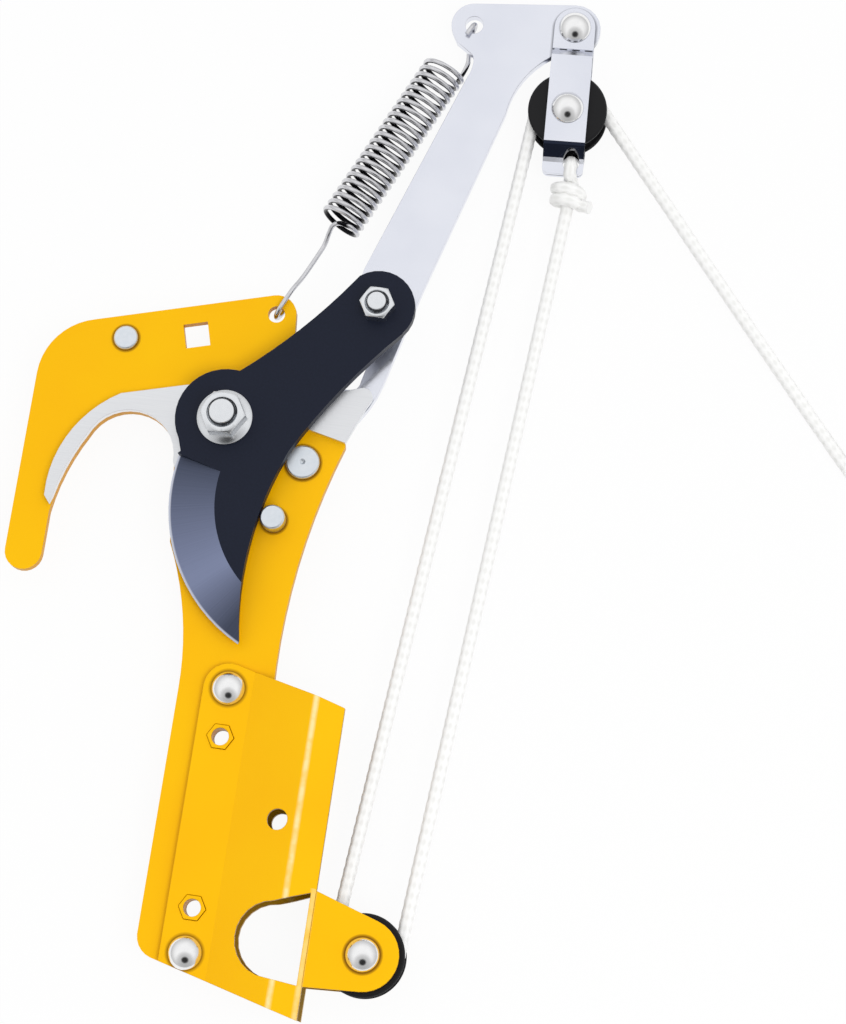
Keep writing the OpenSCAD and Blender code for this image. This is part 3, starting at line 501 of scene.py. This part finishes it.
def clouded(name, size, detail, dull, bright, gloss, metallic=1.0):
    """A finish whose tone and gloss vary together, in clouds of one size."""
    made, tree, shader = surface(name)
    place = add(tree, "ShaderNodeTexCoord")["Object"]
    haze = add(tree, "ShaderNodeTexNoise",
               {"Vector": place, "Scale": 1 / size, "Detail": detail})[0]
    tone = add(tree, "ShaderNodeMix", {0: haze, 6: linear(dull), 7: linear(bright)},
               data_type="RGBA")[2]
    rough = add(tree, "ShaderNodeMapRange",
                {"Value": haze, "To Min": gloss[0], "To Max": gloss[1]})[0]
    feed(tree, shader, {"Base Color": tone, "Roughness": rough, "Metallic": metallic})
    return made, tree, shader, haze, tone


# Polished nickel mirrors the room almost sharply, with a faint haze.
chrome = clouded("polished nickel plate", nickel_haze, 4.0, "#ebebec", "#fafafa", (0.06, 0.16))[0]
for node in ["socket_rivets", "lower_axle", "block_rivet", "upper_axle"]:
    dress(rounded(node, dome_edge), chrome)
# Zinc that was tumbled is a bluish white with a satin sheen, and mirrors nothing.
satin = clouded("tumbled zinc plate", zinc_haze, 3.0, "#d6dee6", "#eef2f7", (0.3, 0.42))[0]
for node in ["hook_rivet", "guide_rivet", "stop_pin"]:
    dress(rounded(node, flat_edge), satin)

# The socket is two mirrored halves of 2 mm sheet, bent to take the pole, riveted to the frame
# and powder coated with it. Hexagon nuts for the clamp bolts are pressed into the front flange.
sheet_edge, nut_edge = 0.4 * MM, 0.2 * MM
bend_x, bend_highlight = 6.5 * MM, 1.0
fold_x, fold_highlight, fold_y = 14.7 * MM, 0.6, -19.5 * MM
bend_low = 5 * MM
highlight_out, highlight_in, highlight_patch = 1.2 * MM, 0.3 * MM, 4 * MM
inside_from, inside_full, inside_share = -1 * MM, -2.5 * MM, 0.75
step_x, step_y, step_drop, step_near = 13.6 * MM, -18.5 * MM, 4 * MM, 0.1 * MM
# On bent sheet a painted highlight runs pale in patches along the bends, and painted shade
# darkens the inner faces brown.
bent_coat, tree, shader, tone = powder_coat("yellow powder coat on bent sheet", "#7a4f06",
                                            ["socket_rivets", "lower_axle"])
place = add(tree, "ShaderNodeTexCoord")["Object"]
part = add(tree, "ShaderNodeSeparateXYZ", {0: place})
highlight_lines = []
# Painted highlight: pale lines along the bend and, below the tab's step, along the fold.
for x, share in [(bend_x, bend_highlight), (fold_x, fold_highlight)]:
    off = add(tree, "ShaderNodeMath", {0: part["X"], 1: x}, operation="SUBTRACT")[0]
    off = add(tree, "ShaderNodeMath", {0: off}, operation="ABSOLUTE")[0]
    highlight_lines.append(add(tree, "ShaderNodeMapRange", {"Value": off, "From Min": highlight_out,
                                                  "From Max": highlight_in, "To Max": share})[0])
below = add(tree, "ShaderNodeMath", {0: part["Y"], 1: fold_y}, operation="LESS_THAN")[0]
line = add(tree, "ShaderNodeMath", {0: highlight_lines[1], 1: below, 2: highlight_lines[0]},
           operation="MULTIPLY_ADD")[0]
depth = add(tree, "ShaderNodeMath", {0: part["Z"]}, operation="ABSOLUTE")[0]
outside = add(tree, "ShaderNodeMath", {0: depth, 1: bend_low}, operation="GREATER_THAN")[0]
highlight_patches = add(tree, "ShaderNodeTexNoise", {"Vector": place, "Scale": 1 / highlight_patch, "Detail": 2.0})[0]
highlight_patches = add(tree, "ShaderNodeMapRange", {"Value": highlight_patches, "From Min": 0.3, "From Max": 0.6,
                                        "To Min": 0.35, "To Max": 0.8})[0]
painted_highlight = add(tree, "ShaderNodeMath", {0: line, 1: outside}, operation="MULTIPLY")[0]
painted_highlight = add(tree, "ShaderNodeMath", {0: painted_highlight, 1: highlight_patches}, operation="MULTIPLY")[0]
tone = add(tree, "ShaderNodeMix", {0: painted_highlight, 6: tone, 7: linear("#fff0b4")}, data_type="RGBA")[2]
# Painted shade: faces turned in towards the frame's middle are darkened brown.
normal = add(tree, "ShaderNodeNewGeometry")["True Normal"]
facing = add(tree, "ShaderNodeSeparateXYZ", {0: normal})["Z"]
inward = add(tree, "ShaderNodeMath", {0: facing, 1: part["Z"]}, operation="MULTIPLY")[0]
inside_shade = add(tree, "ShaderNodeMapRange", {"Value": inward, "From Min": inside_from,
                                        "From Max": inside_full, "To Max": inside_share})[0]
tone = add(tree, "ShaderNodeMix", {0: inside_shade, 6: tone, 7: linear("#4a3208")}, data_type="RGBA")[2]
feed(tree, shader, {"Base Color": tone})


def lower_step(point):
    """Moves the back half's step down behind its tab."""
    on_step = point.z < 0 and point.x > step_x and abs(point.y - step_y) < step_near
    return point - Vector((0, step_drop, 0)) if on_step else point


for node in ["socket_front", "socket_back"]:
    half = rounded(node, sheet_edge, segments=3, sharp=40, reshape=lower_step)
    dress(half, bent_coat)
dress(rounded("clamp_nuts", nut_edge), bent_coat)

# The pulleys are grooved wheels, each moulded in one piece of black nylon. They turn freely on
# the axle rivets, one on the frame's tab and one between the block's straps.
pulley_edge = 0.15 * MM
spark_size, spark_rise = 0.5 * MM, 0.03 * MM
# Moulded nylon is a deep black with a low sheen. The fine grain that the mould leaves on it is
# drawn coarser than real, so that it shows.
black_nylon, tree, shader, spark, _ = clouded("moulded black nylon", spark_size, 2.0, "#0b0b0d",
                                              "#141417", (0.38, 0.58), metallic=0.0)
bump = add(tree, "ShaderNodeBump", {"Strength": 0.15, "Distance": spark_rise, "Height": spark})[0]
feed(tree, shader, {"Normal": bump, "Specular IOR Level": 0.25})
for node in ["lower_pulley", "upper_pulley"]:
    dress(rounded(node, pulley_edge), black_nylon)

# The cutting blade is forged steel with a slick black coat, and it turns on the pivot bolt. The
# coat is ground off along the cutting bevel, and the edge itself is honed.
pivot_x, pivot_y = -37, 124.5
edge_at = Vector((pivot_x + 39.3, pivot_y - 23.4)) * MM
edge_r = 53.6 * MM
blade_edge = 0.2 * MM
grit, streak_share = 0.5 * MM, 0.14
honed_w = 0.9 * MM
coat_speck, speck_rise = 0.7 * MM, 0.02 * MM
face_up, bevel_up, side_up = 0.985, 0.978, 0.9
heel_dark, heel_pale = -0.25, 0.6
tip_pale, tip_dark, tip_left = 0.65, 1.0, 0.1
bevel_metal = 0.6
# The coat is blue-black with faint specks. The bevel is slate grey, with painted sheen that is
# palest in the middle of the edge and darker towards the heel and the tip, and a bright line along
# the edge; the back is bare steel. The grinding streaks across the bevel are drawn 0.5 mm wide,
# coarser than the grit leaves them, so that they show.
black_blade, tree, shader = surface("black coated tool steel with a ground bevel")
place = add(tree, "ShaderNodeTexCoord")["Object"]
normal = add(tree, "ShaderNodeNewGeometry")["True Normal"]
facing = add(tree, "ShaderNodeSeparateXYZ", {0: normal})["Z"]
from_edge = add(tree, "ShaderNodeVectorMath", {0: place, 1: lift(edge_at, 0)},
                operation="SUBTRACT")[0]
spread = add(tree, "ShaderNodeSeparateXYZ", {0: from_edge})
across = add(tree, "ShaderNodeMath", {0: spread["X"], 1: -1.0}, operation="MULTIPLY")[0]
down = add(tree, "ShaderNodeMath", {0: spread["Y"], 1: -1.0}, operation="MULTIPLY")[0]
bearing = add(tree, "ShaderNodeMath", {0: down, 1: across}, operation="ARCTAN2")[0]
arc = add(tree, "ShaderNodeMath", {0: bearing, 1: edge_r / grit}, operation="MULTIPLY")[0]
streak = add(tree, "ShaderNodeTexNoise", {"W": arc, "Scale": 1.0, "Detail": 2.0},
             noise_dimensions="1D")[0]
steep = add(tree, "ShaderNodeMapRange", {"Value": facing, "From Min": face_up,
                                         "From Max": bevel_up})[0]
upward = add(tree, "ShaderNodeMath", {0: facing, 1: side_up}, operation="GREATER_THAN")[0]
bevel = add(tree, "ShaderNodeMath", {0: steep, 1: upward}, operation="MULTIPLY")[0]
speck = add(tree, "ShaderNodeTexNoise", {"Vector": place, "Scale": 1 / coat_speck,
                                         "Detail": 3.0})[0]
coat = add(tree, "ShaderNodeMix", {0: speck, 6: linear("#111624"), 7: linear("#1a2032")},
           data_type="RGBA")[2]
# Painted sheen: the bevel is paled by its bearing round the edge, least at the heel and tip.
bevel_sheen = add(tree, "ShaderNodeMapRange", {"Value": bearing, "From Min": heel_dark,
                                        "From Max": heel_pale})[0]
tip = add(tree, "ShaderNodeMapRange", {"Value": bearing, "From Min": tip_pale, "From Max": tip_dark,
                                       "To Min": 1.0, "To Max": tip_left})[0]
bevel_sheen = add(tree, "ShaderNodeMath", {0: bevel_sheen, 1: tip}, operation="MULTIPLY")[0]
streaks_and_sheen = add(tree, "ShaderNodeMath", {0: streak, 1: streak_share, 2: -streak_share / 2},
           operation="MULTIPLY_ADD")[0]
streaks_and_sheen = add(tree, "ShaderNodeMath", {0: streaks_and_sheen, 1: bevel_sheen}, operation="ADD")[0]
slate = add(tree, "ShaderNodeMix", {0: streaks_and_sheen, 6: linear("#3d4354"), 7: linear("#838caa")},
            data_type="RGBA")[2]
flat = add(tree, "ShaderNodeVectorMath", {0: from_edge, 1: (1, 1, 0)}, operation="MULTIPLY")[0]
reach = add(tree, "ShaderNodeVectorMath", {0: flat}, operation="LENGTH")["Value"]
honed = add(tree, "ShaderNodeMapRange", {"Value": reach, "From Min": edge_r - honed_w,
                                         "From Max": edge_r - honed_w / 2})[0]
slate = add(tree, "ShaderNodeMix", {0: honed, 6: slate, 7: linear("#c9cddb")}, data_type="RGBA")[2]
tone = add(tree, "ShaderNodeMix", {0: bevel, 6: coat, 7: slate}, data_type="RGBA")[2]
back = add(tree, "ShaderNodeMath", {0: facing, 1: -side_up}, operation="LESS_THAN")[0]
tone = add(tree, "ShaderNodeMix", {0: back, 6: tone, 7: linear("#d3d5da")}, data_type="RGBA")[2]
metal = add(tree, "ShaderNodeMath", {0: bevel, 1: bevel_metal, 2: back},
            operation="MULTIPLY_ADD")[0]
bump = add(tree, "ShaderNodeBump", {"Strength": 0.08, "Distance": speck_rise, "Height": speck})[0]
feed(tree, shader, {"Base Color": tone, "Metallic": metal, "Normal": bump, "Roughness": 0.42,
                    "Specular IOR Level": 0.18})
dress(rounded("cutting_blade", blade_edge), black_blade)

# The lever is a long plate of zinc-plated steel behind the frame, bolted to the blade. The
# block's two straps are joggled strips of the same steel, riveted to the lever's end.
lever_edge, strap_edge = 0.4 * MM, 0.25 * MM
strap_half = 13.5 / 2 * MM
strap_up = Vector((-math.sin(block_tilt), math.cos(block_tilt), 0))
strap_right = Vector((strap_up.y, -strap_up.x, 0))
zinc_cloud, roll_run, roll_lean = 18 * MM, 30 * MM, math.radians(-62)
strap_shade_out, strap_shade_in, strap_shade_share = 1.0 * MM, 0.2 * MM, 0.75
joggle_low, joggle_high, joggle_rise = -17.3 * MM, -12.3 * MM, 1.8 * MM
joggle_near = 0.5 * MM
slope_middle, slope_half = -axle_drop - 13.9 * MM, 2.2 * MM
crease_at, crease_half = -8.3 * MM, 0.4 * MM
dash_pitch, dash_from = 4.2 * MM, -0.3


def zinc_plate(name):
    """Zinc on rolled sheet: pale, softly clouded, with faint rolling lines that are drawn coarse."""
    made, tree, shader = surface(name)
    place = add(tree, "ShaderNodeTexCoord")["Object"]
    cloud = add(tree, "ShaderNodeTexNoise",
                {"Vector": place, "Scale": 1 / zinc_cloud, "Detail": 4.0})[0]
    stretch = add(tree, "ShaderNodeMapping", {"Vector": place, "Rotation": (0, 0, roll_lean),
                                              "Scale": (1 / roll_run, 1 / grind, 1 / grind)})[0]
    lines = add(tree, "ShaderNodeTexNoise", {"Vector": stretch, "Scale": 1.0, "Detail": 2.0})[0]
    tone = add(tree, "ShaderNodeMix", {0: cloud, 6: linear("#dbdee9"), 7: linear("#ebedf5")},
               data_type="RGBA")[2]
    gloss = add(tree, "ShaderNodeMapRange", {"Value": lines, "To Min": 0.14, "To Max": 0.26})[0]
    bump = add(tree, "ShaderNodeBump", {"Strength": 0.06, "Distance": line_rise,
                                        "Height": lines})[0]
    feed(tree, shader, {"Roughness": gloss, "Normal": bump, "Metallic": 1.0})
    from_rivet = add(tree, "ShaderNodeVectorMath", {0: place, 1: lift(block_at, 0)},
                     operation="SUBTRACT")[0]
    along = add(tree, "ShaderNodeVectorMath", {0: from_rivet, 1: strap_up},
                operation="DOT_PRODUCT")["Value"]
    across = add(tree, "ShaderNodeVectorMath", {0: from_rivet, 1: strap_right},
                 operation="DOT_PRODUCT")["Value"]
    return made, tree, shader, tone, along, across


# The lever's plating is dull grey, with painted shade in the corner round the strap's end.
lever_zinc, tree, shader, tone, along, across = zinc_plate("bright zinc plate")
# Painted shade: a dark grey line on the lever round the strap's rounded end.
above = add(tree, "ShaderNodeMath", {0: along, 1: 0.0}, operation="MAXIMUM")[0]
spot = add(tree, "ShaderNodeCombineXYZ", {"X": across, "Y": above})[0]
reach = add(tree, "ShaderNodeVectorMath", {0: spot}, operation="LENGTH")["Value"]
strap_shade = add(tree, "ShaderNodeMapRange", {"Value": reach, "From Min": strap_half + strap_shade_out,
                                       "From Max": strap_half + strap_shade_in, "To Max": strap_shade_share})[0]
tone = add(tree, "ShaderNodeMix", {0: strap_shade, 6: tone, 7: linear("#6c6e76")}, data_type="RGBA")[2]
feed(tree, shader, {"Base Color": tone})
dress(rounded("lever", lever_edge), lever_zinc)


def ease_joggle(point):
    """Starts the strap's lower joggle higher, so that it slopes at 45 degrees."""
    drop = (point - lift(upper_at, 0)).dot(strap_up)
    part = min(max((drop - joggle_low) / (joggle_high - joggle_low), 0), 1)
    moves = drop < joggle_high + joggle_near
    return point + part * joggle_rise * strap_up if moves else point


# A painted reflection darkens the plating blue-black on the lower bend's slope, and short dark
# dashes run along the upper bend.
strap_zinc, tree, shader, tone, along, across = zinc_plate("zinc plate with painted reflection at the bends")
# Painted reflection: the lower bend's slope is darkened blue-black.
slope_reflection = add(tree, "ShaderNodeMath", {0: along, 1: slope_middle, 2: slope_half},
            operation="COMPARE")[0]
tone = add(tree, "ShaderNodeMix", {0: slope_reflection, 6: tone, 7: linear("#262b3a")}, data_type="RGBA")[2]
bent = add(tree, "ShaderNodeMath", {0: along, 1: crease_at, 2: crease_half},
           operation="COMPARE")[0]
dashes = add(tree, "ShaderNodeMath", {0: across, 1: math.tau / dash_pitch},
             operation="MULTIPLY")[0]
dashes = add(tree, "ShaderNodeMath", {0: dashes}, operation="SINE")[0]
dashes = add(tree, "ShaderNodeMath", {0: dashes, 1: dash_from}, operation="GREATER_THAN")[0]
bend_dashes = add(tree, "ShaderNodeMath", {0: bent, 1: dashes}, operation="MULTIPLY")[0]
tone = add(tree, "ShaderNodeMix", {0: bend_dashes, 6: tone, 7: linear("#3c3d45")}, data_type="RGBA")[2]
feed(tree, shader, {"Base Color": tone})
for node in ["strap_front", "strap_back"]:
    dress(rounded(node, strap_edge, sharp=20, reshape=ease_joggle), strap_zinc)

# The bolts, nuts, bush and spacer are turned from steel bar and zinc plated. The bolts hold the
# blade and the lever together, and a few turns of thread stand out of each nut.
bolt_edge = 0.35 * MM
zinc_mottle, oil_film = 1.6 * MM, 0.8 * MM
thread_r, thread_pitch, thread_steps = 0.3 * MM, 1 * MM, 32
thread_sides, thread_step = 8, 0.4 * MM
thread_in, thread_out = 0.2 * MM, 0.5 * MM
# Passivated zinc is bright and a little mottled.
zinc_hardware = clouded("passivated zinc on machined steel", zinc_mottle, 5.0, "#dcdfe3", "#eceef1",
                        (0.2, 0.32))[0]
for node in ["pivot_bush", "arm_spacer"]:
    dress(nodes[node], zinc_hardware)
for node in ["pivot_bolt", "pivot_nut", "arm_bolt", "arm_nut"]:
    dress(rounded(node, bolt_edge), zinc_hardware)
# Oil in the threads holds dirt, so they show as dark rings round the bolts' ends.
oiled_thread = clouded("oiled screw thread", oil_film, 2.0, "#2c2d30", "#4d4f53", (0.3, 0.45),
                       metallic=0.8)[0]
for bolt, nut, thread_d in [("pivot_bolt", "pivot_nut", 8.3 * MM),
                            ("arm_bolt", "arm_nut", 6.3 * MM)]:
    low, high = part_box(bolt)
    middle = (low + high) / 2
    start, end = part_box(nut)[1].z - thread_in, high.z - thread_out
    turns = (end - start) / thread_pitch
    helix = []
    for i in range(thread_steps + 1):
        side = polar(thread_d / 2, 360 * turns * i / thread_steps)
        helix.append(lift(middle.xy + side, start + (end - start) * i / thread_steps))
    thread = swept(bolt + "_thread", helix, thread_r, thread_sides, thread_step, oiled_thread)
    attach(thread, "blade")

# The return spring is close-wound plated spring wire with a hook at each end: the upper one
# goes through the lever's ear, and the lower one, on a long straight end, through the frame's.
lever_ear = block_at + Vector((-33.4, -2.7)) * MM
frame_ear = Vector((pivot_x + 10, pivot_y + 38)) * MM
wire_r, wire_sides, wire_step = 0.8 * MM, 12, 0.7 * MM
wire_haze = 1.2 * MM
curl_r = 6.7 * MM
curls, curl_steps, curl_from = 23.25, 24, -45
coil_start, coil_end = 18 * MM, 82 * MM
ear_hole_r, ear_play = 1.75 * MM, 0.4 * MM
hook_r = ear_hole_r + wire_r + ear_play
hook_set, hook_drop, hook_parts = 2.4 * MM, 0.7 * MM, 4
spring_top, spring_low = lift(lever_ear, rope_z), lift(frame_ear, 0)
spring_span = (spring_low - spring_top).length
spring_along = (spring_low - spring_top).normalized()
spring_side = Vector((0, 0, 1)).cross(spring_along).normalized()
spring_front = spring_along.cross(spring_side)


def on_spring(s, q, h):
    """A point by its distance along the spring, to the right of it and to the front."""
    return spring_top + s * spring_along + q * spring_side + h * spring_front


def on_curl(i):
    """A point of the coil after i steps of its turns."""
    a = math.radians(curl_from + 360 * i / curl_steps)
    s = coil_start + (coil_end - coil_start) * i / (curls * curl_steps)
    return on_spring(s, curl_r * math.cos(a), curl_r * math.sin(a))


# The wire's points are in millimetres along, to the right and to the front: the upper ones from
# the lever's ear and the back of the hook, the lower ones from the coil's end, and the straight
# end and the two legs of the lower hook by their distance from the frame's ear.
hook_leg = 4.5 * MM
upper_lead = [(4.5, 0.6, 0), (7.5, 2.6, 0), (11, 4.4, -0.2), (14.5, 4.8, -1)]
lower_lead = [(0.9, 1.2, 5.2), (2.6, -0.6, 4.2), (5, -0.7, 2.2), (8, -0.2, 0.9), (11, 0, 0.6)]
straight_end, straight_front = 16 * MM, 0.6 * MM
front_leg, back_leg = (9.5, 5), (4, 7)
half_turn = [math.radians(a) for a in range(90, -91, -30)]
upper_hook = [on_spring(hook_leg, 0, hook_r)]
upper_hook += [on_spring(hook_set - hook_r * math.cos(a), 0, hook_r * math.sin(a))
               for a in half_turn]
upper_hook += [on_spring(s * MM, q * MM, h * MM - hook_r) for s, q, h in upper_lead]
curl_points = [on_curl(i) for i in range(int(curls * curl_steps) + 1)]
lower_hook = [on_spring(coil_end + s * MM, q * MM, h * MM) for s, q, h in lower_lead]
lower_hook += [on_spring(spring_span - straight_end, 0, straight_front)]
lower_hook += [on_spring(spring_span - s * MM, 0, hook_r) for s in front_leg]
lower_hook += [on_spring(spring_span - hook_set + hook_r * math.cos(a), 0,
                         hook_r * math.sin(a) - hook_drop * (1 - math.sin(a)) / 2)
               for a in half_turn]
lower_hook += [on_spring(spring_span - s * MM, 0, -hook_r - hook_drop) for s in back_leg]
spring_path = smooth(upper_hook + curl_points[:1], hook_parts) + curl_points[1:]
spring_path += smooth(curl_points[-1:] + lower_hook, hook_parts)[1:]
# Plated wire is bright on the outside of the coil. Its inner side is darkened with painted shade,
# so the turns stand apart to the eye.
spring_wire, tree, shader, _, tone = clouded("plated spring wire", wire_haze, 3.0, "#c6c6ca",
                                             "#e6e6e9", (0.14, 0.28))
# Painted shade: the side of the wire that faces the coil's axis is darkened.
place = add(tree, "ShaderNodeTexCoord")["Object"]
arm = add(tree, "ShaderNodeVectorMath", {0: place, 1: spring_top}, operation="SUBTRACT")[0]
arm = add(tree, "ShaderNodeVectorMath", {0: arm, 1: spring_along}, operation="CROSS_PRODUCT")[0]
from_axis = add(tree, "ShaderNodeVectorMath", {0: arm}, operation="LENGTH")["Value"]
inner = add(tree, "ShaderNodeMapRange", {"Value": from_axis, "From Min": curl_r + 0.3 * wire_r,
                                         "From Max": curl_r - 0.1 * wire_r})[0]
coiled = add(tree, "ShaderNodeMath", {0: from_axis, 1: curl_r - 1.2 * wire_r},
             operation="GREATER_THAN")[0]
coil_inner_shade = add(tree, "ShaderNodeMath", {0: inner, 1: coiled}, operation="MULTIPLY")[0]
tone = add(tree, "ShaderNodeMix", {0: coil_inner_shade, 6: tone, 7: linear("#1c1c1f")}, data_type="RGBA")[2]
feed(tree, shader, {"Base Color": tone})
return_spring = swept("spring_wire", spring_path, wire_r, wire_sides, wire_step, spring_wire)
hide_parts("return_spring", "spring_foot")
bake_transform(return_spring)

# The rope is tied through the holes at the bottom of the block's straps: it goes through, comes
# back and is wound round itself in a drawn-tight knot. The knot's sizes are in millimetres.
becket = Vector((2.6, -axle_drop / MM - 17.2))
loop_r, loop_steps, loop_up = 4.2, 8, 0.6
loop_y = becket.y - loop_r + loop_up
leg_h, knot_h, knot_gap = 2.8, 8.5, 0.2
knot_y = loop_y - leg_h - knot_gap - knot_h / 2
rope_below = 0.4
wrap_r, wrap_pitch, wrap_turns, wrap_steps = 4.1, 3.9, 1.75, 42
wrap_from, wrap_low = 0.4, -3.4
cut_end = [(7.4, -4.6, 3.4), (6, -4.2, 2.8)]
tuck_y, tuck_z = 1, 0.5
standing = [(loop_y - leg_h, -2.4), (knot_y + 1.5, -0.6), (knot_y - 2, 0),
            (knot_y - knot_h / 2 - rope_below, 0)]
knot_parts = 3


def in_block(x, y, z):
    """A point of the pulley block, in millimetres from its rivet, with the block hanging down."""
    c, s = math.cos(block_tilt), math.sin(block_tilt)
    return Vector((block_at.x + (x * c - y * s) * MM, block_at.y + (x * s + y * c) * MM,
                   rope_z + z * MM))


knot_path = [in_block(becket.x + x, knot_y + y, z) for x, y, z in cut_end]
for i in range(wrap_steps + 1):
    a = wrap_turns * math.tau * i / wrap_steps + wrap_from
    y = knot_y + wrap_low + wrap_pitch * wrap_turns * i / wrap_steps
    knot_path.append(in_block(becket.x + wrap_r * math.cos(a), y, wrap_r * math.sin(a)))
knot_path.append(in_block(becket.x, loop_y - tuck_y, loop_r - tuck_z))
for i in range(loop_steps + 1):
    a = math.radians(90 - 180 / loop_steps * i)
    knot_path.append(in_block(becket.x, loop_y + loop_r * math.cos(a), loop_r * math.sin(a)))
knot_path += [in_block(becket.x, y, z) for y, z in standing]
rope_hitch = rope_piece("rope_hitch", smooth(knot_path, knot_parts))
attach(rope_hitch, "block")
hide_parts("rope_becket", "rope_knot")

# From the knot the rope runs down to the lower pulley, round it, and up over the upper one.
# When the lever comes down, the two straight falls shorten as the rope is drawn through. The
# bend on the lower pulley goes on past the fall, so that they still meet then.
lower_at = Vector((32.5, -37.3)) * MM
bend_steps, bend_past = 40, 30


def touch(p, c, r, sign):
    """Where the tangent from p meets the circle about c."""
    d = p - c
    half = math.degrees(math.acos(r / d.length))
    return c + polar(r, math.degrees(math.atan2(d.y, d.x)) + sign * half)


def bearing_of(p, c):
    """The direction of p from c, in degrees."""
    return math.degrees(math.atan2(p.y - c.y, p.x - c.x))


first_top = in_block(becket.x, knot_y - knot_h / 2 - rope_below, 0)
first_low = lift(touch(first_top.xy, lower_at, rope_line_r, -1), 0)
rise_angle = bearing_of(upper_at, lower_at)
second_low = lift(lower_at + polar(rope_line_r, rise_angle + 90), 0)
second_top = lift(upper_at + polar(rope_line_r, rise_angle + 90), rope_z)
for name, top, low, sign in [("first_fall", first_top, first_low, -1),
                             ("second_fall", second_top, second_low, 1)]:
    fall = rope_piece(name, [top, (top + low) / 2, low])
    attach(fall, "block")
    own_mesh(fall)
wraps = [("lower_wrap", "frame", lower_at, bearing_of(first_low, lower_at),
          rise_angle - (270 + bend_past), 0),
         ("upper_wrap", "block", upper_at, rise_angle + 90, tail_angle, rope_z)]
for name, body, centre, start, end, z in wraps:
    bend = [lift(centre + polar(rope_line_r, start + (end - start) * i / bend_steps), z)
            for i in range(bend_steps + 1)]
    wrap = rope_piece(name, bend)
    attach(wrap, body)
    if name == "upper_wrap":
        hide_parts("rope_run")

# The head lies on a plain white table under a large soft light, with one lamp from the right.
# The table is white to the eye and in the metal, and still takes the head's shadow.
table_half, table_glow = 3, 0.93
floor = bpy.data.objects.new("table", bpy.data.meshes.new("table"))
corners = [(x * table_half, y * table_half, table_z)
           for x, y in [(-1, -1), (1, -1), (1, 1), (-1, 1)]]
floor.data.from_pydata(corners, [], [(0, 1, 2, 3)])
bpy.context.scene.collection.objects.link(floor)
white_table, tree, shader = surface("white table")
feed(tree, shader, {"Base Color": linear("#f4f4f4"), "Roughness": 0.9})
rays = add(tree, "ShaderNodeLightPath")
seen = add(tree, "ShaderNodeMath", {0: rays["Is Camera Ray"], 1: rays["Is Glossy Ray"]},
           operation="MAXIMUM")[0]
seen = add(tree, "ShaderNodeMath", {0: seen, 1: rays["Is Transmission Ray"]},
           operation="MAXIMUM")[0]
share = add(tree, "ShaderNodeMath", {0: seen, 1: table_glow}, operation="MULTIPLY")[0]
glow = add(tree, "ShaderNodeEmission", {"Color": (1, 1, 1, 1), "Strength": 1.0})[0]
plain = tree.nodes["Principled BSDF"].outputs[0]
both = add(tree, "ShaderNodeMixShader", {0: share, 1: plain, 2: glow})[0]
feed(tree, tree.nodes["Material Output"].inputs, {"Surface": both})
floor.data.materials.append(white_table)

# The room is brighter overhead than at its foot. A small dark patch with a grey surround stands
# half-way up at the pole's end, and gives the domed rivets their dark spot.
room_foot, room_top, top_from = 0.62, 0.99, 0.75
dark_rise = math.radians(48)
surround, core = (0.55, 0.92, 0.6), (0.91, 0.98, 0.05)
world = bpy.data.worlds.new("soft room")
world.use_nodes = True
bpy.context.scene.world = world
tree = world.node_tree
way = add(tree, "ShaderNodeTexCoord")["Generated"]
height = add(tree, "ShaderNodeSeparateXYZ", {0: way})["Z"]
lit = add(tree, "ShaderNodeMapRange",
          {"Value": height, "From Min": 0.0, "From Max": top_from, "To Min": room_foot,
           "To Max": room_top}, interpolation_type="SMOOTHSTEP")[0]
dark_way = math.cos(dark_rise) * -page_up + Vector((0, 0, math.sin(dark_rise)))
toward = add(tree, "ShaderNodeVectorMath", {0: way, 1: dark_way}, operation="DOT_PRODUCT")["Value"]
for outer, inner, left in [surround, core]:
    dark = add(tree, "ShaderNodeMapRange",
               {"Value": toward, "From Min": outer, "From Max": inner, "To Min": 1.0,
                "To Max": left}, interpolation_type="SMOOTHSTEP")[0]
    lit = add(tree, "ShaderNodeMath", {0: lit, 1: dark}, operation="MULTIPLY")[0]
rays = add(tree, "ShaderNodeLightPath")
shown = add(tree, "ShaderNodeMix", {0: rays["Is Camera Ray"], 2: lit, 3: 1.0},
            data_type="FLOAT")[0]
feed(tree, tree.nodes["Background"].inputs, {"Color": (1, 1, 1, 1), "Strength": shown})

# The lamp is a soft disc that gives the shadows one side. The metal doesn't mirror it.
lamp_at = Vector((0.5, -0.3, 1.1))
lamp_power, lamp_size = 5.5, 0.8
lamp = bpy.data.objects.new("right lamp", bpy.data.lights.new("right lamp", "AREA"))
lamp.data.energy = lamp_power
lamp.data.shape = "DISK"
lamp.data.size = lamp_size
lamp.visible_glossy = False
lamp_turn = (lamp_at - looks_at).to_track_quat("Z", "Y").to_matrix().to_4x4()
lamp.matrix_world = Matrix.Translation(lamp_at) @ lamp_turn
bpy.context.scene.collection.objects.link(lamp)
